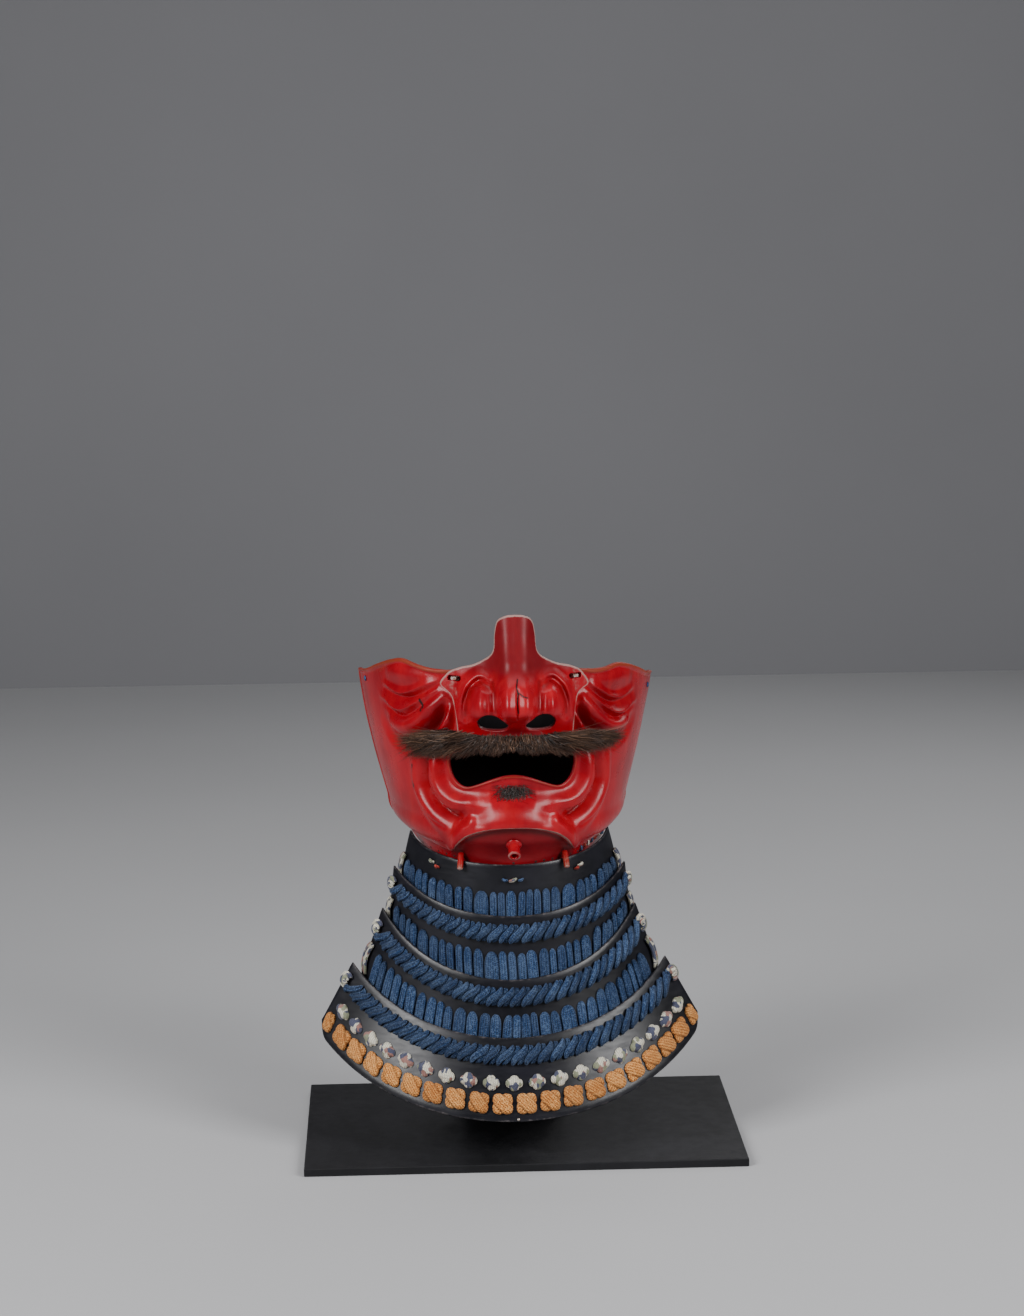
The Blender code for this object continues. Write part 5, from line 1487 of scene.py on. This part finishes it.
def build_knots(name, row, pad, material, seed):
    """A row of knots, and the run of cord behind the lame."""
    count, share, width, height, end_share, reach = row
    turns, lengths = turn_places(LAST_LAME, share, reach)
    places = np.interp(np.linspace(0, lengths[-1], count), lengths, turns)
    scale = lengths[-1] / (turns[-1] - turns[0])
    down = share_length(LAST_LAME)
    random = np.random.default_rng(seed)
    x, y, rise, across, along = pad()
    sides = x.shape[1]
    across = np.concatenate([across, across[-1:]]) * width * 500 + 50
    along = np.concatenate([along, along[-1:]]) * height * 500 + 50
    shape = Shape()
    for i, turn in enumerate(places):
        size = end_share if i in (0, count - 1) else random.uniform(0.96, 1.03)
        spin = random.normal(0, 0.07)
        px = x * math.cos(spin) - y * math.sin(spin)
        py = x * math.sin(spin) + y * math.cos(spin)
        lift = GAP + KNOT_THICKNESS * random.uniform(0.94, 1.04) * rise
        a = turn + px * width / 2 * size / scale
        b = share + py * height / 2 / down
        foot = np.tile(on_lame(LAST_LAME, share, turn, GAP * 0.8), (1, sides, 1))
        grid = np.concatenate([on_lame(LAST_LAME, b, a, lift), foot])
        weave = weave_at(across, along, random.uniform(0, 1))
        shape.add(grid, quads(len(grid), sides, False, True), weave=weave)
    back_turns = np.linspace(places[0], places[-1], RUN_POINTS)
    path = on_lame(LAST_LAME, share, back_turns, -LAME_WALL - GAP - 0.0011)
    run = tube(path, np.full(RUN_POINTS, 0.0010), RUN_SIDES, [0.0, 0.0, 1.0])
    length = np.linspace(0, lengths[-1] * 1000, RUN_POINTS)
    weave = weave_at(np.arange(RUN_SIDES) * 0.8, length[:, None], 0.0)
    shape.add(run, tube_faces(RUN_POINTS, RUN_SIDES), weave=weave)
    make_piece(name + "_braid", shape, material, (name,))


# Hair

def front_of_mask(x, z):
    """How far forward the face plate or the nose plate reaches at heights z of the front view."""
    front = face_point(base_angle(x, z), z)[:, 1]
    local = x - NOSE_SHIFT
    nose = nose_point(local + 0 * z, z)[:, 1]
    under_nose = (z > 0.244) & (abs(local) < np.interp(z, WING_Z, WING_X) + 0.0015)
    return np.where(under_nose, np.minimum(front, nose), front)


def moustache_sections():
    """Columns x, top, bottom, depth and back of the moustache's form."""
    rows = []
    for x, top, bottom, depth, stand in np.array(MOUSTACHE_ROWS, float) * MM:
        span = np.linspace(bottom - 0.002, top + 0.002, 28)
        back = min(front_of_mask(x + near, span).min() for near in (-0.004, 0, 0.004)) - stand
        rows.append((x, top, bottom, depth, back))
    return np.array(rows)


def add_ribbon(shape, points, facing, widths, paleness, colour):
    """A flat hair along points, its flat side facing a direction."""
    sides = unit(np.cross(unit(np.gradient(points, axis=0)), facing))
    offset = sides * widths[:, None] / 2
    weave = weave_at(0.0, paleness[:, None], [colour, colour])
    shape.add(np.stack([points - offset, points + offset], 1), quads(len(points), 2), weave=weave)


def add_hair(shape, rows, random, x, z, layer, colour):
    """One hair of the moustache along x and z, off the face by its layer."""
    s = np.linspace(0, 1, len(x))
    deep = np.interp(x, rows[:, 0], rows[:, 3])
    back = np.interp(x, rows[:, 0], rows[:, 4])
    rise = 0.25 + 0.75 * np.sin(math.pi * (0.12 + 0.70 * s))
    y = back - deep * (layer + random.uniform(-0.1, 0.1)) * rise - 0.0003
    turn = random.uniform(-1.2, 1.2)
    widths = random.uniform(0.00016, 0.00032) * (1 - 0.85 * s**2)
    facing = [0.0, math.cos(turn), math.sin(turn)]
    add_ribbon(shape, np.stack([x, y, z], -1), facing, widths, s, colour)


def add_clump(shape, rows, random, s, root_x):
    """Hairs from near one root, combed to the side, or hanging if the root is near the middle."""
    side = 1.0 if root_x > 0.001 + random.normal(0, 0.003) else -1.0
    far = smoothstep(abs(root_x), 0.006, 0.030)
    root_z = np.interp(root_x, rows[:, 0], rows[:, 1]) - random.uniform(0.0004, 0.0052 + 0.0012 * far)
    fan = (LEFT_FAN if side < 0 else RIGHT_FAN) * random.uniform(0, 1)
    heading = math.radians(-74 + (72 - fan) * far + random.normal(0, 7 - 3 * far))
    span = (0.0050 + 0.0240 * far) * random.uniform(0.65, 1.2)
    droop = random.uniform(0.0, 0.0024)
    layer = random.uniform(0.15, 1.0)
    tone = random.uniform(0.0, 1.0) ** 1.3
    level = random.normal(0.0004, 0.0012)
    for _ in range(random.integers(*CLUMP_HAIRS)):
        x0 = root_x + random.normal(0, 0.0012)
        z0 = root_z + random.normal(0, 0.0007)
        bearing = heading + random.normal(0, 0.055)
        length = span * random.uniform(0.70, 1.12)
        room = 0.0470 + 0.0225 * random.uniform(0, 1) ** 0.8 - abs(x0)
        length *= np.clip(room / max(math.cos(bearing) * length, 1e-5), 0.25, 1.0)
        tip_x = x0 + side * math.cos(bearing) * length
        lowest = np.interp(tip_x, rows[:, 0], rows[:, 2]) + level - abs(random.normal(0, 0.0006))
        fall = max(droop - math.sin(bearing) * length, 1e-5)
        length *= np.clip((z0 - lowest) / fall, 0.35, 1.0)
        x = x0 + side * math.cos(bearing) * length * s + (root_x - x0) * 0.45 * s
        z = z0 + math.sin(bearing) * length * s - droop * s**2 + (root_z - z0) * 0.45 * s
        z = z + random.normal(0, 0.00045) * np.sin(s * random.uniform(3, 7))
        # Hairs further out are paler and deeper ones darker: painted shade inside the moustache
        colour = np.clip(tone * 0.6 + random.uniform(-0.25, 0.45) + 0.25 * (layer - 0.5), 0, 1)
        add_hair(shape, rows, random, x, z, layer, colour)


def add_stray(shape, rows, random, s, side):
    """A single hair that stands off one side of the moustache."""
    x0 = side * random.uniform(0.024, 0.054)
    slope = math.radians(random.uniform(-42, 12))
    reach = min(random.uniform(0.010, 0.026), (MOUSTACHE_REACH - abs(x0)) / math.cos(slope))
    x = x0 + side * math.cos(slope) * reach * s
    z = np.interp(x0, rows[:, 0], rows[:, 1]) - random.uniform(0.0, 0.0080) + math.sin(slope) * reach * s
    z = z - random.uniform(0.0, 0.003) * s**2
    add_hair(shape, rows, random, x, z, random.uniform(0.7, 1.1), random.uniform(0.3, 1.0))


def moustache_shade_core(rows):
    """Sections of the dark body inside the moustache, painted shade deep among the hairs."""
    sections = []
    for x, top, bottom, depth, back in rows[3:-3]:
        centre = np.array([x, back - 0.28 * depth, (top + bottom) / 2 + 0.0012])
        up = np.array([0.0, 0.0, (top - bottom) / 2 * 0.60])
        sections.append(centre + circle(14, up, np.array([0.0, 0.28 * depth, 0.0])))
    return np.array(sections)


def build_moustache(material):
    """Clumps of hair: combed to the sides, hanging in the middle, thin and ragged at the ends."""
    rows = moustache_sections()
    random = np.random.default_rng(7)
    shape = Shape()
    s = np.linspace(0, 1, 8)
    for clump in range(CLUMPS):
        root_x = random.uniform(-0.050, 0.052) if clump % 3 else random.normal(0, 0.017)
        add_clump(shape, rows, random, s, root_x)
    for stray in range(STRAY_HAIRS):
        add_stray(shape, rows, random, s, -1.0 if stray % 2 else 1.0)
    # A dark body in the darkest hair colour: painted shade deep inside the moustache
    shade_core = moustache_shade_core(rows)
    shape.add(shade_core, tube_faces(*shade_core.shape[:2]), weave=(0.0, 0.0, 0.0))
    make_piece("moustache_hair", shape, material, ("moustache",))


def build_tuft(material):
    """Short sparse bristles below the lip, thick in the middle and thin round the outside."""
    random = np.random.default_rng(11)
    shape = Shape()
    s = np.linspace(0, 1, 5)
    for _ in range(TUFT_HAIRS):
        x0 = np.clip(random.normal(0, 0.26), -0.55, 0.55) * TUFT_WIDTH
        z0 = TUFT_Z + np.clip(random.normal(0.08, 0.22), -0.45, 0.5) * TUFT_HEIGHT
        root, out = seat_on_face(x0, z0)
        bearing = math.radians(-90 + x0 / TUFT_WIDTH * 90 + random.normal(0, 38))
        comb = np.array([math.cos(bearing), 0.0, math.sin(bearing)])
        comb = unit(comb - out * (comb @ out))
        length = random.uniform(0.0020, 0.0062)
        lift = random.uniform(0.12, 0.80) * TUFT_DEPTH
        points = root + np.outer(s, comb) * length + np.outer(np.sin(s * 2.0), out) * lift
        points = points + np.outer(s**2, np.cross(comb, out)) * random.normal(0, 0.0005)
        facing = out + random.normal(0, 0.4, 3)
        widths = random.uniform(0.00018, 0.00034) * (1 - 0.8 * s)
        add_ribbon(shape, points, facing, widths, s * 0.3, random.uniform(0, 0.35))
    make_piece("chin_tuft_hair", shape, material, ("chin_tuft",))


# Chin fittings

def build_fitting(node, start, axis, profile, sides, material):
    """A turned red piece, with an orange-brown mark and a pale mark as its profile's last two columns say."""
    worn, bare = (np.repeat([row[k] for row in profile], sides) for k in (2, 3))
    shape = Shape()
    shape.add(turned(start, axis, profile, sides), tube_faces(len(profile), sides),
              worn=worn, bare=bare, hollow=0.0, crack=0.0, dull=0.0)
    make_piece(node + "_skin", shape, material, (node,), sharp=50)


def build_chin_fittings(material):
    """The drain tube under the chin, and a cord peg at each side of it."""
    seat = seat_on_face(0.0, TUBE_Z)[0]
    up = seat_on_face(0.0, TUBE_Z + 0.001)[0] - seat_on_face(0.0, TUBE_Z - 0.001)[0]
    out = unit(np.cross([1.0, 0.0, 0.0], up))
    build_fitting("drain_tube", seat + out * (GAP * 1.6), out, TUBE_PROFILE, 40, material)
    for side, label in ((-1, "left"), (1, "right")):
        seat, out = seat_on_face(PEG_X * side, PEG_Z)
        aim = unit(np.array([0.10 * side, -0.62, -0.78]))
        lean = PEG_RADIUS * math.sqrt(max(0.0, 1 - (aim @ out) ** 2)) / max(0.2, aim @ out)
        build_fitting("cord_peg_" + label, seat + aim * (lean + GAP * 2), aim, PEG_PROFILE, 24, material)


# Small ties, dark discs of painted shade for holes, and studs

def small_disc(shape, seat, out, radius, height, **values):
    """A low round dot on a surface."""
    profile = ((0.0, radius), (height * 0.6, radius * 0.96), (height, radius * 0.6), (height * 1.02, 0.00002))
    shape.add(turned(seat, out, profile, 14), tube_faces(len(profile), 14), **values)


def build_flange_hole_shades(material):
    """Small holes along the bottom flange of the mask, drawn as dark discs of painted shade."""
    shape = Shape()
    for x in FLANGE_HOLES_X:
        seat, out = seat_on_face(x, 0.1705 + 1.25 * x * x, -0.0002)
        small_disc(shape, seat, out, 0.00085, 0.0003)
    make_piece("flange_hole_shades", shape, material)


def build_corner_ties(material):
    """Cord dots at the two rear top corners of the mask."""
    shape = Shape()
    for side in (-1, 1):
        seat, out = seat_on_face(side * 0.0845, 0.2645 - side * 0.0012)
        small_disc(shape, seat, out, 0.0017, 0.0009, weave=(0.4, 0.4, 0.3))
    make_piece("corner_ties", shape, material)


def build_lame_studs(material):
    """A small bright stud at the lower edge of the third and the fourth lame."""
    shape = Shape()
    for place in LAME_STUDS:
        small_disc(shape, on_lame(*place, 0.0), lame_normal(*place), 0.0009, 0.0006)
    make_piece("lame_studs", shape, material)


def tie(shape, seat, out, direction, length, radius, seed):
    """A short stitch of cord standing on a surface like a staple."""
    v = np.linspace(0, 1, 9)
    arch = np.sin(math.pi * v)
    path = seat + np.outer(v - 0.5, direction) * length + np.outer(arch, out) * radius * 1.6
    weave = weave_at(np.arange(10) * 0.5, v[:, None] * length * 1000, seed)
    shape.add(tube(path, radius * (0.75 + 0.25 * arch), 10, out), tube_faces(9, 10), weave=weave)


def build_ties(blue, flecked, red):
    """The ties that show on the first lame and on the flange."""
    pieces = {"blue": Shape(), "flecked": Shape(), "red": Shape()}
    for turn, share, colour, length in LAME_TIES:
        out = lame_normal(0, share, turn)
        along = unit(np.cross(out, [0.0, 0.0, 1.0]))
        slant = unit(along + np.array([0, 0, 0.35 * (1 if turn < 0 else -1)]))
        tie(pieces[colour], on_lame(0, share, turn, GAP), out, slant, length, 0.0010, abs(turn))
    for k in range(FLANGE_TIES):
        seat, out = seat_on_face(0.040 + 0.0022 * k, 0.1740 + 0.0011 * k, 0.0002)
        colour = ("blue", "red", "flecked")[k % 3]
        tie(pieces[colour], seat, out, unit(np.array([0.25, -0.1, 1.0])), 0.0036, 0.0007, 0.1 * k)
    make_piece("blue_ties", pieces["blue"], blue)
    make_piece("flecked_ties", pieces["flecked"], flecked)
    make_piece("red_ties", pieces["red"], red)


# Stage, lights and camera

def add_sheet(name, corners, low, high):
    """A flat sheet of the stage, its colour between two greys."""
    mesh = bpy.data.meshes.new(name)
    mesh.from_pydata(corners, [], [(0, 1, 2, 3)])
    mesh.materials.append(plain(name + "_finish", 3.0, low, high, 0.75))
    add_object(name, mesh)


def build_stage():
    add_sheet("floor", [(-3, -3, 0), (3, -3, 0), (3, 3, 0), (-3, 3, 0)],
              (0.36, 0.36, 0.37), (0.39, 0.39, 0.40))
    add_sheet("backdrop", [(-3, 1.6, 0), (3, 1.6, 0), (3, 1.6, 3), (-3, 1.6, 3)],
              (0.15, 0.15, 0.16), (0.17, 0.17, 0.18))


def area_light(name, place, size, power):
    """A soft light aimed at the middle of the object."""
    light = bpy.data.lights.new(name, "AREA")
    light.shape = "RECTANGLE"
    light.size, light.size_y = size
    light.energy = power
    lamp = add_object(name, light)
    lamp.location = place
    lamp.rotation_euler = (Vector(LIGHT_TARGET) - Vector(place)).to_track_quat("-Z", "Y").to_euler()


def build_lights():
    """Two softboxes in front, weak lights above and behind, and a faint even sky."""
    area_light("softbox_left", (-1.08, -0.90, 0.98), (0.68, 0.85), 33.0)
    area_light("softbox_right", (1.06, -0.92, 0.92), (0.64, 0.85), 28.5)
    area_light("softbox_top", (0.0, 0.15, 1.45), (1.0, 0.7), 5.0)
    area_light("rim_back", (0.6, 1.1, 0.9), (0.8, 0.5), 3.0)
    world = bpy.data.worlds.new("studio")
    bpy.context.scene.world = world
    world.use_nodes = True
    background = world.node_tree.nodes["Background"].inputs
    background["Color"].default_value = (0.55, 0.58, 0.62, 1.0)
    background["Strength"].default_value = 0.08


def build_camera():
    """The camera that matches the view this object was measured from."""
    yaw = math.radians(CAMERA_YAW)
    pitch = math.radians(CAMERA_PITCH)
    roll = math.radians(CAMERA_ROLL)
    ahead = Vector((math.sin(yaw) * math.cos(pitch), math.cos(yaw) * math.cos(pitch), -math.sin(pitch)))
    right = Vector((math.cos(yaw), -math.sin(yaw), 0.0))
    up = right.cross(ahead)
    across = right * math.cos(roll) + up * math.sin(roll)
    above = -right * math.sin(roll) + up * math.cos(roll)
    data = bpy.data.cameras.new("camera")
    data.lens = CAMERA_LENS
    camera = add_object("camera", data)
    matrix = Matrix((across, above, -ahead)).transposed().to_4x4()
    matrix.translation = Vector(CAMERA_PLACE)
    camera.matrix_world = matrix
    bpy.context.scene.camera = camera


def paint_nodes(names, material):
    """Gives CAD nodes that stay visible their material."""
    for name in names:
        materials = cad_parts[name].data.materials
        materials.clear()
        materials.append(material)


build_camera()
build_stage()
build_lights()

red_lacquer = lacquer_red()
black_lacquer = lacquer_black()
blue_silk = silk("blue_silk_finish", (0.0020, 0.0072, 0.0270), (0.0145, 0.052, 0.150), (0.115, 0.175, 0.290))
orange_silk = silk("orange_silk_finish", (0.230, 0.066, 0.012), (0.690, 0.275, 0.066), (0.860, 0.470, 0.170))
flecked_silk = flecked_braid()
red_silk = silk("red_silk_finish", (0.14, 0.010, 0.010), (0.46, 0.035, 0.025), (0.55, 0.12, 0.08))
hair = bristle()
coat = powder_coat()
worn_steel = steel()
# Near black for the flange's holes: painted shade
dark = plain("hole_shade_finish", 900.0, (0.006, 0.003, 0.003), (0.016, 0.006, 0.005), 0.8)

build_face(red_lacquer)
build_nose(red_lacquer)
for lame in range(len(LAMES)):
    build_lame(lame, black_lacquer)
for row_number in range(len(UPRIGHT_ROWS)):
    build_upright(row_number, blue_silk)
    build_twisted(row_number, blue_silk)
build_edge_lacing(flecked_silk)
build_knots("multicolour_knots", MULTICOLOUR_ROW, cross_pad, flecked_silk, 21)
build_knots("orange_knots", ORANGE_ROW, square_pad, orange_silk, 22)
build_moustache(hair)
build_tuft(hair)
build_chin_fittings(red_lacquer)
build_flange_hole_shades(dark)
build_corner_ties(blue_silk)
build_lame_studs(worn_steel)
build_ties(blue_silk, flecked_silk, red_silk)
paint_nodes(("stand_base", "stand_post"), coat)
paint_nodes(("nose_hook_left", "nose_hook_right"), worn_steel)
